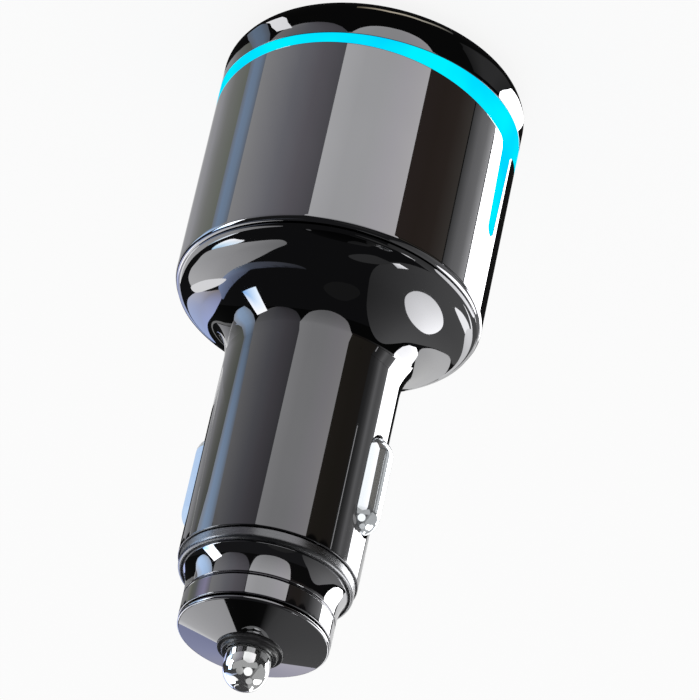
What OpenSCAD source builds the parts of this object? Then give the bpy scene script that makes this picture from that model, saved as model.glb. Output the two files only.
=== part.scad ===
// Two-port USB charger plug for a car's 12 V socket.
// It stands on its port face: z = 0 is the rim of that face and +Z runs to the sprung centre pin.
// The two side contacts, and the two tails of the light ring, lie on the X axis.

/* [Head] */
// Diameter of the head
head_d = 36.5; // [34:0.5:42]
// Distance from the port face to the seam at the shoulder
head_len = 33.25; // [31:0.25:40]
// Wall of the head shell and of the light ring
shell_wall = 1.2; // [1:0.1:1.6]
// Round on the outer edge where the head shell ends
shell_edge = 0.8; // [0.3:0.1:0.9]
// Height of the rim cap, from the port face to the light ring
rim_h = 6.5; // [5.5:0.25:8]
// Radius of the rim cap's rounded outer edge
rim_round = 4.8; // [4:0.1:5]
// Thickness of the rim cap's inward lip
lip_t = 2.4; // [1.8:0.1:3]
// Wall of the rim cap's locating spigot
rim_spigot_wall = 1.1; // [0.8:0.1:1.4]
// Length of the spigots that locate one shell in the next
spigot_len = 2.5; // [1.5:0.1:4]

/* [Light ring] */
// Height of the ring midway between its tails
ring_low_h = 1.3; // [0.8:0.1:2]
// Height of the ring where its tails start
ring_high_h = 4.15; // [3:0.05:5]
// Width of a tail where it leaves the ring
tail_root_w = 3; // [2.4:0.1:3.6]
// Width of a tail at its round tip
tail_tip_w = 1.9; // [1.4:0.1:2.2]
// Distance from the port face to the tip of a tail
tail_end = 23; // [18:0.5:27]
// Radius of the inner corner between ring and tail
tail_round = 1.6; // [0.8:0.1:2.5]

/* [Barrel] */
// How far the shoulder's rim stands out past the head
shoulder_step = 0.05; // [0:0.05:0.2]
// Height above the seam that the shoulder's round would reach
shoulder_lip = 0.65; // [0.5:0.05:1]
// Radius of the shoulder's round, which runs into the flare
shoulder_round = 1.5; // [1:0.1:2]
// Length of the flare from the seam to the straight neck
flare_len = 10; // [8:0.5:12]
// Diameter of the neck that enters the socket
neck_d = 20.9; // [20.5:0.1:21.3]
// Distance from the seam to the end of the barrel
barrel_len = 36.4; // [35:0.1:42]
// Wall of the neck
neck_wall = 1.2; // [1:0.1:1.5]
// Wall of the spigot that enters the head shell
shoulder_spigot_wall = 1; // [0.8:0.1:1.5]
// Depth of the hollow cone under the flare
flare_hollow = 5.3; // [4:0.1:6]

/* [Side contacts] */
// Width of a side contact
contact_w = 4.8; // [4:0.1:5.2]
// Length of a side contact
contact_len = 12.7; // [11:0.1:15]
// How far a side contact stands proud of the neck
contact_proud = 1.55; // [1:0.05:1.8]
// Distance from the end of the barrel to the contact's near end
contact_inset = 5.35; // [3.5:0.05:6.5]
// Travel of a side contact
contact_travel = 1.45; // [0.8:0.05:1.5]
// How far the retaining foot is wider than the contact, on each side
foot_margin = 0.7; // [0.4:0.1:1]
// Thickness of the retaining foot
foot_t = 1; // [0.7:0.1:1.2]
// Mean radius of a side spring's coil
side_spring_r = 1.6; // [1.2:0.1:1.8]
// Wire diameter of a side spring
side_wire_d = 0.4; // [0.3:0.05:0.45]
// Turns of a side spring
side_turns = 4; // [3:1:5]

/* [Collar and nose] */
// How far the collar ring stands in from the neck
collar_step = 0.25; // [0:0.05:0.4]
// Height of the collar ring
collar_h = 1.5; // [1:0.1:2.2]
// Round on the collar's lower edge
collar_round = 0.7; // [0.3:0.05:0.8]
// How far the nose stands in from the neck
nose_step = 1.62; // [1.4:0.02:1.8]
// Length of the nose sleeve past the collar
nose_len = 6.4; // [5:0.1:8]
// Wall of the nose sleeve
nose_wall = 1.35; // [1.1:0.05:1.6]
// Distance from the collar to the thin turned groove
groove_at = 3.75; // [2:0.05:4.5]
// Width of the turned groove
groove_w = 0.35; // [0.2:0.05:0.5]
// Depth of the turned groove
groove_deep = 0.3; // [0.15:0.05:0.4]
// How far the end cap's flange stands in from the nose
flange_step = 0.03; // [0:0.01:0.5]
// Height of the end cap's straight rim
flange_h = 0.55; // [0.3:0.05:0.9]
// Height of the end cap's shallow cone
cone_h = 1.5; // [1:0.1:2.5]
// Length of the end cap's spigot inside the nose sleeve
end_spigot_len = 3; // [2:0.1:3.4]

/* [Centre pin] */
// Diameter of the centre pin
pin_d = 5.32; // [4.6:0.02:5.6]
// Distance from the top of the end cap's cone to the pin's tip
pin_reach = 5.16; // [4.4:0.02:6]
// Travel of the centre pin
pin_travel = 2; // [1:0.1:2.2]
// Diameter of the pin's retaining foot
pin_foot_d = 6.6; // [6.2:0.1:6.8]
// Thickness of the pin's retaining foot
pin_foot_t = 0.9; // [0.6:0.1:1.2]
// Diameter of the stub that guides the pin's spring
pin_stub_d = 3; // [2.4:0.1:3.2]
// Length of that stub
pin_stub_len = 1.6; // [1:0.1:2]
// Diameter of the insulating washer
washer_d = 7.64; // [7.2:0.02:8.4]
// Thickness of the washer's flange
washer_t = 0.35; // [0.2:0.05:0.6]
// Diameter of the washer's raised middle
washer_boss_d = 6.5; // [6.1:0.1:6.8]
// Height of the washer's raised middle above its flange
washer_boss_h = 0.45; // [0.2:0.05:0.7]
// Wall of the washer's insulating bush
bush_wall = 0.8; // [0.6:0.05:1]
// Mean radius of the pin spring's coil
pin_spring_r = 2.3; // [2.1:0.1:2.6]
// Wire diameter of the pin spring
pin_wire_d = 0.5; // [0.4:0.05:0.6]
// Turns of the pin spring
pin_turns = 5; // [4:1:6]
// Diameter of the cup that seats the pin spring
cup_d = 8; // [7:0.1:9]
// Wall and floor of the cup
cup_wall = 0.4; // [0.3:0.05:0.6]
// Height of the cup
cup_h = 1.6; // [1:0.1:2]

/* [Ports] */
// Width of the rim cap's face round the port plate
lip_w = 5.5; // [5.2:0.1:6]
// Depth of the port plate below the rim
plate_recess = 0.6; // [0.3:0.1:1]
// Thickness of the port plate's hidden flange
plate_flange_t = 1.2; // [0.8:0.1:2]
// Depth of a socket's mouth below the port plate
mouth_recess = 0.2; // [0.1:0.05:0.4]
// Width of the wide socket's shell
wide_w = 13.1; // [12.8:0.1:13.4]
// Height of the wide socket's shell
wide_h = 5.7; // [5.5:0.1:6]
// Width of the oval socket's shell
oval_w = 8.94; // [8.8:0.02:9.2]
// Height of the oval socket's shell
oval_h = 3.26; // [3.1:0.02:3.5]
// Distance between the two sockets' centres
port_pitch = 9.6; // [8:0.1:10.5]
// Sheet thickness of the socket shells
port_sheet = 0.3; // [0.2:0.05:0.4]
// Depth from a socket's mouth to its insulating block
port_depth = 10.5; // [9:0.1:11.5]
// How far the tongues stop short of the mouth
tongue_setback = 1.3; // [0.8:0.1:2]
// Thickness of the wide socket's tongue
wide_tongue_t = 1.84; // [1.6:0.02:2]
// Width of the wide socket's tongue
wide_tongue_w = 11.1; // [10.5:0.1:11.6]
// Thickness of the oval socket's tongue
oval_tongue_t = 0.7; // [0.6:0.05:0.8]
// Width of the oval socket's tongue
oval_tongue_w = 6.7; // [6.2:0.1:7]
// Gap between the wide socket's tongue and its shell
tongue_gap = 0.3; // [0.2:0.05:0.5]
// How far the gold pins stop short of a tongue's end
pin_setback = 0.6; // [0.4:0.1:1]
// Width of a gold pin in the wide socket
wide_pin_w = 1; // [0.8:0.1:1.2]
// Thickness of a gold pin in the wide socket
wide_pin_t = 0.2; // [0.1:0.05:0.25]
// Distance from the wide socket's middle to its inner pins
wide_pin_inner = 1; // [0.8:0.1:1.2]
// Distance from the wide socket's middle to its outer pins
wide_pin_outer = 3.5; // [3:0.1:4]
// Width of a gold pin in the oval socket
oval_pin_w = 0.3; // [0.2:0.05:0.4]
// Thickness of a gold pin in the oval socket
oval_pin_t = 0.08; // [0.04:0.02:0.1]
// Distance between neighbouring pins in the oval socket
oval_pin_pitch = 0.5; // [0.45:0.05:0.55]

/* [Boards] */
// Distance from the port face to the port board
port_board_at = 14.8; // [14.6:0.1:16]
// Thickness of both circuit boards
board_t = 1.6; // [1.2:0.1:2]
// Space between the main board's edges and the barrel's spigot
board_side_gap = 0.95; // [0.5:0.05:3]
// Width of the main board in the neck
board_neck_w = 16.6; // [15:0.2:17]
// Side of the shielded inductor
inductor_side = 10; // [8:0.5:12]
// Height of the shielded inductor
inductor_h = 5; // [3:0.5:6]
// Diameter of an output capacitor
out_cap_d = 8; // [6.3:0.1:9]
// Length of an output capacitor
out_cap_len = 11.5; // [9:0.5:12.5]
// Diameter of the input capacitor
in_cap_d = 6.3; // [5:0.1:6.6]
// Length of the input capacitor
in_cap_len = 10; // [8:0.5:11]
// Side of the controller chip
chip_side = 5; // [4:0.5:7]
// Height of the chips and power transistors
chip_h = 1; // [0.8:0.1:1.6]
// Length of the board fuse
fuse_len = 6.1; // [5:0.1:7]
// Width and height of the board fuse
fuse_w = 2.6; // [2:0.1:3]
// Number of light-emitting diodes behind the light ring
led_count = 10; // [6:2:14]
// Length of one diode along the ring
led_len = 2; // [1.6:0.1:3]
// Height of one diode
led_h = 0.7; // [0.5:0.05:1]
// Width of one diode across the ring
led_w = 1.2; // [0.8:0.1:1.4]
// Distance from a diode to the edge of the port board
led_inset = 0.3; // [0.2:0.1:1]
// Space between neighbouring components on the boards
component_gap = 1; // [0.6:0.1:1.4]

/* [Clearances] */
// Visible gap between the head shell and the shoulder, and above the end cap
seam_gap = 0.22; // [0.1:0.02:0.4]
// Clearance where a spigot or board sits in its shell
fit = 0.1; // [0.05:0.05:0.2]
// Gap between the light ring and the head shell
guide_gap = 0.04; // [0.02:0.01:0.1]
// Radial clearance round the centre pin
pin_gap = 0.1; // [0.05:0.05:0.15]
// Clearance round a side contact in its slot
slot_gap = 0.15; // [0.1:0.05:0.25]
// Clearance of the moving feet where they stop
stop_gap = 0.15; // [0.1:0.05:0.2]

/* [Hidden] */
$fn = 96;
eps = 0.01;
arc_steps = 12;

head_r = head_d / 2;
shell_ri = head_r - shell_wall;
shoulder_r = head_r + shoulder_step;
plate_r = head_r - lip_w;
neck_r = neck_d / 2;
neck_ri = neck_r - neck_wall;
collar_r = neck_r - collar_step;
nose_r = neck_r - nose_step;
flange_r = nose_r - flange_step;
nose_ri = nose_r - nose_wall;
pin_r = pin_d / 2;

seam_z = head_len + seam_gap;
barrel_end = head_len + barrel_len;
collar_end = barrel_end + collar_h;
nose_end = collar_end + nose_len;
flange_z = nose_end + seam_gap;
cone_z = flange_z + flange_h;
cap_top = cone_z + cone_h;
bush_start = flange_z - end_spigot_len;
pin_tip = cap_top + pin_reach;

// The ring's lower edge is two straight cuts that meet at the tails, seen along X.
ring_slope = (ring_high_h - ring_low_h) / head_r;
ring_low_z = rim_h + ring_high_h;
tail_tip_z = tail_end - tail_tip_w / 2;
tail_taper = (tail_root_w - tail_tip_w) / 2 / (tail_tip_z - ring_low_z);

// The side contacts, their feet and the pockets of the board carrier.
contact_mid = barrel_end - contact_inset - contact_len / 2;
contact_r = neck_r + contact_proud;
contact_axis = contact_r - contact_w / 2;
foot_w = contact_w + 2 * foot_margin;
foot_len = contact_len + 2 * foot_margin;
foot_x = sqrt(pow(neck_ri, 2) - pow(foot_w / 2, 2)) - stop_gap;
pocket_x = foot_x - foot_t - contact_travel - stop_gap;
carrier_r = neck_ri - fit;
pocket_gap = 0.2;
pocket_end_wall = 0.8;
carrier_end = contact_mid + foot_len / 2 + pocket_gap + pocket_end_wall;
carrier_len = foot_len + 2 * (pocket_gap + pocket_end_wall);
carrier_start = carrier_end - carrier_len;
terminal_t = 0.4;
terminal_stem_r = 0.6;
side_spring_solid = (side_turns + 1) * side_wire_d;
terminal_x = pocket_x - side_spring_solid - terminal_t;

// The boards.
port_board_z = port_board_at + board_t;
port_board_r = shell_ri - fit;
carrier_floor = 2.9;
board_end = carrier_end - carrier_floor;
board_step = head_len - shoulder_spigot_wall;
board_head_w = 2 * (shell_ri - fit - shoulder_spigot_wall - board_side_gap);
inductor_z = port_board_z + component_gap;

// The sockets.
plate_z = plate_recess;
mouth_z = plate_z + mouth_recess;
block_z = mouth_z + port_depth;
wide_y = port_pitch / 2;
oval_y = -port_pitch / 2;
wide_tongue_y = wide_y + wide_h / 2 - port_sheet - tongue_gap - wide_tongue_t;
gold_pin_z = mouth_z + tongue_setback + pin_setback;

// The centre pin's foot and the floor of the cup below its spring.
pin_foot_z = bush_start - stop_gap - pin_foot_t;
cup_floor_z = carrier_end + cup_wall;

// Points on an arc about (cx, cy) from angle a to angle b.
function arc(cx, cy, r, a, b) =
    [for (i = [0:arc_steps]) let (t = a + (b - a) * i / arc_steps) [cx + r * cos(t), cy + r * sin(t)]];

module lathe(points) rotate_extrude() polygon(points);

module tube(ro, ri, z0, z1) {
    lathe([[ri, z0], [ro, z0], [ro, z1], [ri, z1]]);
}

// A flat bar with half-round ends, its length along Y and its thickness along Z.
module pill(len, w, t) {
    linear_extrude(t) {
        square([w, len - w], center = true);
        for (side = [-1, 1]) translate([0, side * (len - w) / 2]) circle(d = w);
    }
}

// A round-wire compression spring standing on z = 0.
module coil(mean_r, wire_d, len, turns) {
    sides = 6;
    steps = turns * 12;
    rise = len - wire_d;
    function wire_point(i, j) =
        let (turn = 360 * turns * i / steps, b = 360 * j / sides, r = mean_r + wire_d / 2 * cos(b))
        [r * cos(turn), r * sin(turn), wire_d / 2 + rise * i / steps + wire_d / 2 * sin(b)];
    points = [for (i = [0:steps]) for (j = [0:sides - 1]) wire_point(i, j)];
    skin = [for (i = [0:steps - 1]) for (j = [0:sides - 1])
        [i * sides + j, i * sides + (j + 1) % sides, (i + 1) * sides + (j + 1) % sides, (i + 1) * sides + j]];
    first = [for (j = [sides - 1:-1:0]) j];
    last = [for (j = [0:sides - 1]) steps * sides + j];
    polyhedron(points, concat([first], skin, [last]), convexity = 4);
}

// One half of the ring's and tail's outline, with Y across and Z along, grown by g.
module guide_half(g) {
    n_ring = sqrt(1 + pow(ring_slope, 2));
    n_tail = sqrt(1 + pow(tail_taper, 2));
    round_r = tail_round - g;
    c_ring = ring_low_z + (g + round_r) * n_ring;
    c_tail = tail_root_w / 2 + tail_taper * ring_low_z + (g + round_r) * n_tail;
    arc_y = (c_tail - tail_taper * c_ring) / (1 - tail_taper * ring_slope);
    arc_z = c_ring - ring_slope * arc_y;
    edge_y = head_r + 1;
    tip_r = tail_tip_w / 2 + g;
    polygon(concat(
        [[0, rim_h], [edge_y, rim_h], [edge_y, ring_low_z - ring_slope * edge_y + g * n_ring]],
        arc(arc_y, arc_z, round_r, -90 - atan(ring_slope), -180 + atan(tail_taper)),
        [[tip_r, tail_tip_z], [0, tail_tip_z]]));
    translate([0, tail_tip_z]) circle(r = tip_r, $fn = 48);
}

// The outline of ring and tails carried along X through the whole head.
module guide_prism(g) {
    rotate([90, 0, 90]) translate([0, 0, -head_r - 1]) linear_extrude(head_d + 2) {
        guide_half(g);
        mirror([1, 0]) guide_half(g);
    }
}

// Places a side piece: side 1 is on +X, side -1 on -X.
module on_side(side) {
    if (side > 0) children();
    else mirror([1, 0, 0]) children();
}

module rim_cap() {
    spigot_r = shell_ri - fit;
    cavity_r = spigot_r - rim_spigot_wall;
    mouth_r = plate_r + fit;
    color("black") lathe(concat(
        [[mouth_r, 0]],
        arc(head_r - rim_round, rim_round, rim_round, -90, 0),
        [[head_r, rim_h], [spigot_r, rim_h], [spigot_r, rim_h + ring_low_h / 2],
            [cavity_r, rim_h + ring_low_h / 2], [cavity_r, lip_t], [mouth_r, lip_t]]));
}

module socket_outline(w, h, grow, corner) {
    if (corner > 0) {
        for (side = [-1, 1]) translate([side * (w - h) / 2, 0]) circle(d = h + 2 * grow);
        square([w - h, h + 2 * grow], center = true);
    } else square([w + 2 * grow, h + 2 * grow], center = true);
}

module port_plate() {
    plate_flange_r = shell_ri - rim_spigot_wall - 2 * fit;
    color("dimgray") difference() {
        lathe([[0, plate_z], [plate_r, plate_z], [plate_r, lip_t], [plate_flange_r, lip_t],
            [plate_flange_r, lip_t + plate_flange_t], [0, lip_t + plate_flange_t]]);
        translate([0, wide_y, -eps]) linear_extrude(rim_h) socket_outline(wide_w, wide_h, fit, 0);
        translate([0, oval_y, -eps]) linear_extrude(rim_h) socket_outline(oval_w, oval_h, fit, 1);
    }
}

module light_ring() {
    color("cyan") intersection() {
        tube(head_r, shell_ri, rim_h, tail_end + 1);
        guide_prism(0);
    }
}

module head_shell() {
    color([0.25, 0.25, 0.27]) difference() {
        lathe(concat(
            [[shell_ri, rim_h], [head_r, rim_h]],
            arc(head_r - shell_edge, head_len - shell_edge, shell_edge, 0, 90),
            [[shell_ri, head_len]]));
        guide_prism(guide_gap);
    }
}

module barrel() {
    spigot_r = shell_ri - fit;
    spigot_ri = spigot_r - shoulder_spigot_wall;
    round_x = shoulder_r - shoulder_round;
    round_z = head_len + shoulder_lip - shoulder_round;
    seam_turn = asin((seam_z - round_z) / shoulder_round);
    flare_w = round_x - neck_r;
    flare_h = head_len + flare_len - round_z;
    flare_r = (pow(flare_w, 2) + pow(flare_h, 2) - pow(shoulder_round, 2))
        / (2 * (shoulder_round + flare_w));
    meet_turn = atan2(flare_h, flare_r - flare_w);
    flare = arc(neck_r + flare_r, head_len + flare_len, flare_r, 180 + meet_turn, 180);
    color([0.22, 0.22, 0.24]) difference() {
        lathe(concat(
            [[spigot_ri, head_len - spigot_len], [spigot_r, head_len - spigot_len],
                [spigot_r, seam_z]],
            arc(round_x, round_z, shoulder_round, seam_turn, meet_turn),
            [for (i = [1:arc_steps]) flare[i]],
            [[neck_r, barrel_end], [neck_ri, barrel_end], [neck_ri, head_len + flare_hollow],
                [spigot_ri, head_len]]));
        for (side = [-1, 1]) on_side(side) translate([0, 0, contact_mid]) rotate([90, 0, 90])
            pill(contact_len + 2 * slot_gap, contact_w + 2 * slot_gap, head_r);
    }
}

module collar_ring() {
    color("dimgray") lathe(concat(
        [[neck_ri + fit / 2, barrel_end], [collar_r, barrel_end]],
        arc(collar_r - collar_round, collar_end - collar_round, collar_round, 0, 90),
        [[neck_ri + fit / 2, collar_end]]));
}

module nose_sleeve() {
    groove_z = collar_end + groove_at;
    spigot_r = neck_ri - fit;
    color([0.25, 0.25, 0.27]) lathe([
        [nose_ri, carrier_end + stop_gap], [spigot_r, carrier_end + stop_gap],
        [spigot_r, collar_end - fit], [nose_r, collar_end],
        [nose_r, groove_z - groove_w / 2], [nose_r - groove_deep, groove_z - groove_w / 2],
        [nose_r - groove_deep, groove_z + groove_w / 2], [nose_r, groove_z + groove_w / 2],
        [nose_r, nose_end], [nose_ri, nose_end]]);
}

module end_cap() {
    bore_r = pin_r + pin_gap + bush_wall + fit / 2;
    flange_round = flange_h / 2;
    color([0.25, 0.25, 0.27]) lathe(concat(
        [[bore_r, bush_start], [nose_ri - fit, bush_start], [nose_ri - fit, nose_end - fit],
            [nose_ri - fit, flange_z], [flange_r - flange_round, flange_z]],
        arc(flange_r - flange_round, flange_z + flange_round, flange_round, -90, 60),
        [[washer_d / 2, cap_top], [bore_r, cap_top]]));
}

module pin_washer() {
    bore_r = pin_r + pin_gap;
    color([0.12, 0.12, 0.12]) lathe([
        [bore_r, bush_start], [bore_r + bush_wall, bush_start], [bore_r + bush_wall, cap_top],
        [washer_d / 2, cap_top], [washer_d / 2, cap_top + washer_t],
        [washer_boss_d / 2, cap_top + washer_t], [washer_boss_d / 2, cap_top + washer_t + washer_boss_h],
        [bore_r, cap_top + washer_t + washer_boss_h]]);
}

module centre_pin() {
    color("silver") lathe(concat(
        [[0, pin_foot_z - pin_stub_len], [pin_stub_d / 2, pin_foot_z - pin_stub_len],
            [pin_stub_d / 2, pin_foot_z], [pin_foot_d / 2, pin_foot_z],
            [pin_foot_d / 2, pin_foot_z + pin_foot_t], [pin_r, pin_foot_z + pin_foot_t]],
        arc(0, pin_tip - pin_r, pin_r, 0, 90)));
}

module pin_spring() {
    color("gainsboro") translate([0, 0, cup_floor_z])
        coil(pin_spring_r, pin_wire_d, pin_foot_z - cup_floor_z, pin_turns);
}

module spring_cup() {
    color("goldenrod") {
        lathe([[0, board_end], [terminal_stem_r, board_end], [terminal_stem_r, carrier_end],
            [cup_d / 2, carrier_end], [cup_d / 2, carrier_end + cup_h],
            [cup_d / 2 - cup_wall, carrier_end + cup_h], [cup_d / 2 - cup_wall, cup_floor_z],
            [0, cup_floor_z]]);
    }
}

// A half-round bar with domed ends on a stem and a wide foot that keeps it in its slot.
module side_contact(side) {
    bar = contact_len - contact_w;
    color("silver") on_side(side) translate([0, 0, contact_mid]) {
        intersection() {
            translate([contact_axis, 0, 0]) union() {
                translate([0, 0, -bar / 2]) cylinder(d = contact_w, h = bar);
                for (end = [-1, 1]) translate([0, 0, end * bar / 2]) sphere(d = contact_w);
            }
            translate([contact_axis - eps, -contact_w, -contact_len])
                cube([contact_w, 2 * contact_w, 2 * contact_len]);
        }
        translate([foot_x - eps, 0, 0]) rotate([90, 0, 90])
            pill(contact_len, contact_w, contact_axis - foot_x + eps);
        translate([foot_x - foot_t, 0, 0]) rotate([90, 0, 90]) pill(foot_len, foot_w, foot_t);
    }
}

module side_contact_left() side_contact(-1);

module side_contact_right() side_contact(1);

module side_spring(side) {
    start_x = terminal_x + terminal_t;
    color("gainsboro") on_side(side) translate([start_x, 0, contact_mid]) rotate([0, 90, 0])
        coil(side_spring_r, side_wire_d, foot_x - foot_t - start_x, side_turns);
}

module side_spring_left() side_spring(-1);

module side_spring_right() side_spring(1);

module ground_terminals() {
    head_rad = side_spring_r + side_wire_d;
    color("goldenrod") for (side = [-1, 1]) on_side(side)
        translate([0, 0, contact_mid]) rotate([0, 90, 0]) {
            translate([0, 0, board_t / 2]) cylinder(r = terminal_stem_r, h = terminal_x - board_t / 2 + eps);
            translate([0, 0, terminal_x]) cylinder(r = head_rad, h = terminal_t);
        }
}

module board_carrier() {
    pocket_w = foot_w + 2 * pocket_gap;
    pocket_len = foot_len + 2 * pocket_gap;
    stem_r = terminal_stem_r + fit / 2;
    color([0.16, 0.16, 0.17]) difference() {
        translate([0, 0, carrier_start]) cylinder(r = carrier_r, h = carrier_len);
        translate([-board_t / 2 - fit, -board_neck_w / 2 - fit, carrier_start - eps])
            cube([board_t + 2 * fit, board_neck_w + 2 * fit, board_end - carrier_start + fit + eps]);
        translate([0, 0, board_end]) cylinder(r = stem_r, h = carrier_floor + 1);
        for (side = [-1, 1]) on_side(side) translate([0, 0, contact_mid]) {
            translate([pocket_x, -pocket_w / 2, -pocket_len / 2]) cube([neck_r, pocket_w, pocket_len]);
            rotate([0, 90, 0]) {
                translate([0, 0, terminal_x]) cylinder(r = side_spring_r + side_wire_d + fit, h = neck_r);
                cylinder(r = stem_r, h = neck_r);
            }
        }
    }
}

module port_board() {
    color("darkgreen") tube(port_board_r, 0, port_board_at, port_board_z);
}

module main_board() {
    color("darkgreen") translate([-board_t / 2, 0, 0]) rotate([90, 0, 90]) linear_extrude(board_t) {
        translate([-board_head_w / 2, port_board_z]) square([board_head_w, board_step - port_board_z]);
        translate([-board_neck_w / 2, port_board_z]) square([board_neck_w, board_end - port_board_z]);
    }
}

module wide_port_shell() {
    color("silver") translate([0, wide_y, mouth_z]) linear_extrude(port_board_at - mouth_z) difference() {
        socket_outline(wide_w, wide_h, 0, 0);
        socket_outline(wide_w, wide_h, -port_sheet, 0);
    }
}

module wide_port_tongue() {
    block_w = wide_w - 2 * port_sheet - 2 * fit;
    block_h = wide_h - 2 * port_sheet - 2 * fit;
    color("white") {
        translate([-block_w / 2, wide_y - block_h / 2, block_z]) cube([block_w, block_h, port_board_at - block_z]);
        translate([-wide_tongue_w / 2, wide_tongue_y, mouth_z + tongue_setback])
            cube([wide_tongue_w, wide_tongue_t, port_depth - tongue_setback + eps]);
    }
}

module wide_port_pins() {
    color("gold") for (side = [-1, 1]) for (x = [wide_pin_inner, wide_pin_outer])
        translate([side * x - wide_pin_w / 2, wide_tongue_y - wide_pin_t, gold_pin_z])
            cube([wide_pin_w, wide_pin_t, block_z - gold_pin_z]);
}

module oval_port_shell() {
    color("silver") translate([0, oval_y, mouth_z]) linear_extrude(port_board_at - mouth_z) difference() {
        socket_outline(oval_w, oval_h, 0, 1);
        socket_outline(oval_w, oval_h, -port_sheet, 1);
    }
}

module oval_port_tongue() {
    color([0.12, 0.12, 0.12]) translate([0, oval_y, 0]) {
        translate([0, 0, block_z]) linear_extrude(port_board_at - block_z)
            socket_outline(oval_w, oval_h, -port_sheet - fit, 1);
        translate([-oval_tongue_w / 2, -oval_tongue_t / 2, mouth_z + tongue_setback])
            cube([oval_tongue_w, oval_tongue_t, port_depth - tongue_setback + eps]);
    }
}

module oval_port_pins() {
    color("gold") for (i = [-5:6]) for (side = [0, 1])
        translate([(i - 0.5) * oval_pin_pitch - oval_pin_w / 2, oval_y - oval_pin_t * (1 - side)
            + oval_tongue_t * (side - 0.5), gold_pin_z])
            cube([oval_pin_w, oval_pin_t, block_z - gold_pin_z]);
}

module ring_leds() {
    led_r = port_board_r - led_w - led_inset;
    color("white") for (i = [0:led_count - 1]) rotate([0, 0, 360 * (i + 0.5) / led_count])
        translate([led_r, -led_len / 2, port_board_at - led_h]) cube([led_w, led_len, led_h]);
}

module power_inductor() {
    color([0.3, 0.3, 0.3]) translate([board_t / 2, -inductor_side / 2, inductor_z])
        cube([inductor_h, inductor_side, inductor_side]);
}

// A round capacitor lying on the board along +Z, with a crimped groove near its base.
module round_capacitor(d, len) {
    crimp_z = 0.12 * len;
    crimp_h = 0.04 * len;
    lathe([[0, 0], [d / 2, 0], [d / 2, crimp_z], [d / 2 - crimp_h, crimp_z + crimp_h],
        [d / 2, crimp_z + 2 * crimp_h], [d / 2, len], [0, len]]);
}

module output_capacitors() {
    color("navy") for (side = [-1, 1])
        translate([-board_t / 2 - out_cap_d / 2 - fit / 2, side * (out_cap_d + component_gap) / 2, port_board_z + fit])
            round_capacitor(out_cap_d, out_cap_len);
}

module input_capacitor() {
    start = carrier_start - in_cap_len - component_gap;
    color("navy") translate([-board_t / 2 - in_cap_d / 2 - fit / 2, 0, start])
        round_capacitor(in_cap_d, in_cap_len);
}

module controller_chip() {
    color([0.1, 0.1, 0.1]) translate([board_t / 2, -chip_side / 2, inductor_z + inductor_side + component_gap])
        cube([chip_h, chip_side, chip_side]);
}

module power_transistors() {
    color([0.1, 0.1, 0.1]) for (side = [-1, 1])
        translate([board_t / 2, side * (inductor_side / 2 + chip_side / 2 + component_gap) - chip_side / 2,
            inductor_z]) cube([chip_h, chip_side, chip_side]);
}

module board_fuse() {
    color("white") translate([board_t / 2, -fuse_w / 2, carrier_start - fuse_len - component_gap])
        cube([fuse_w, fuse_w, fuse_len]);
}

rim_cap();
port_plate();
light_ring();
head_shell();
barrel();
collar_ring();
nose_sleeve();
end_cap();
pin_washer();
centre_pin();
pin_spring();
spring_cup();
side_contact_left();
side_contact_right();
side_spring_left();
side_spring_right();
ground_terminals();
board_carrier();
port_board();
main_board();
wide_port_shell();
wide_port_tongue();
wide_port_pins();
oval_port_shell();
oval_port_tongue();
oval_port_pins();
ring_leds();
power_inductor();
output_capacitors();
input_capacitor();
controller_chip();
power_transistors();
board_fuse();
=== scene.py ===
"""A two-port USB charger plug for a car's 12 V socket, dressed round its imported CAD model."""

import math

import bpy
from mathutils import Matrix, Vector


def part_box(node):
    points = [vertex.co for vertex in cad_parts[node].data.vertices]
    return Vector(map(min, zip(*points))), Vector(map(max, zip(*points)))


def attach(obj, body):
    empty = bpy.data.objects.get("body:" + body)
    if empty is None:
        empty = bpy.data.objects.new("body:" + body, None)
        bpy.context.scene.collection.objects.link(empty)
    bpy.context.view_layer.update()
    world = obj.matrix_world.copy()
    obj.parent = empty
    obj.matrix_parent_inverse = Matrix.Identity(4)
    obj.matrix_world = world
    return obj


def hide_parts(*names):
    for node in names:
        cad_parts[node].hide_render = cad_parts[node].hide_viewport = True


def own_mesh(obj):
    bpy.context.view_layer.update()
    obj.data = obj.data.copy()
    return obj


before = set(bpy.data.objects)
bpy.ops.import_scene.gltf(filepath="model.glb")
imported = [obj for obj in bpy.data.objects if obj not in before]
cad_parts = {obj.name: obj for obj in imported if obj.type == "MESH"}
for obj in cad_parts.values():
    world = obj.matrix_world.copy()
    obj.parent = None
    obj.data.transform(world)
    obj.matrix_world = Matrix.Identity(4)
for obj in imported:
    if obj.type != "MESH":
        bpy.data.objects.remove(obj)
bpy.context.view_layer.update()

# Head shell
# The head is a tube of moulded plastic, plated in a mirror-bright dark chrome.
# Its end at the port side is cut away for the light ring and the ring's two tails, and it is
# pressed over the spigots of the rim cap and the barrel.
MM = 0.001  # one millimetre, in metres
AROUND = 320  # points round a turned piece
HOLD = 0.05  # how close to an edge the points stand that keep its faces flat
HEAD_R = 18.25
SHELL_R = 17.05
HEAD_END = 33.25
SHELL_EDGE = 0.8
INNER_EDGE = 0.1
RIM_H = 6.5
RING_LOW = 1.3
RING_HIGH = 4.15
TAIL_ROOT = 3.0
TAIL_TIP = 1.9
TAIL_END = 23.0
TAIL_ROUND = 1.6
GUIDE_GAP = 0.04
CUT_EDGE = 0.07


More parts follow.
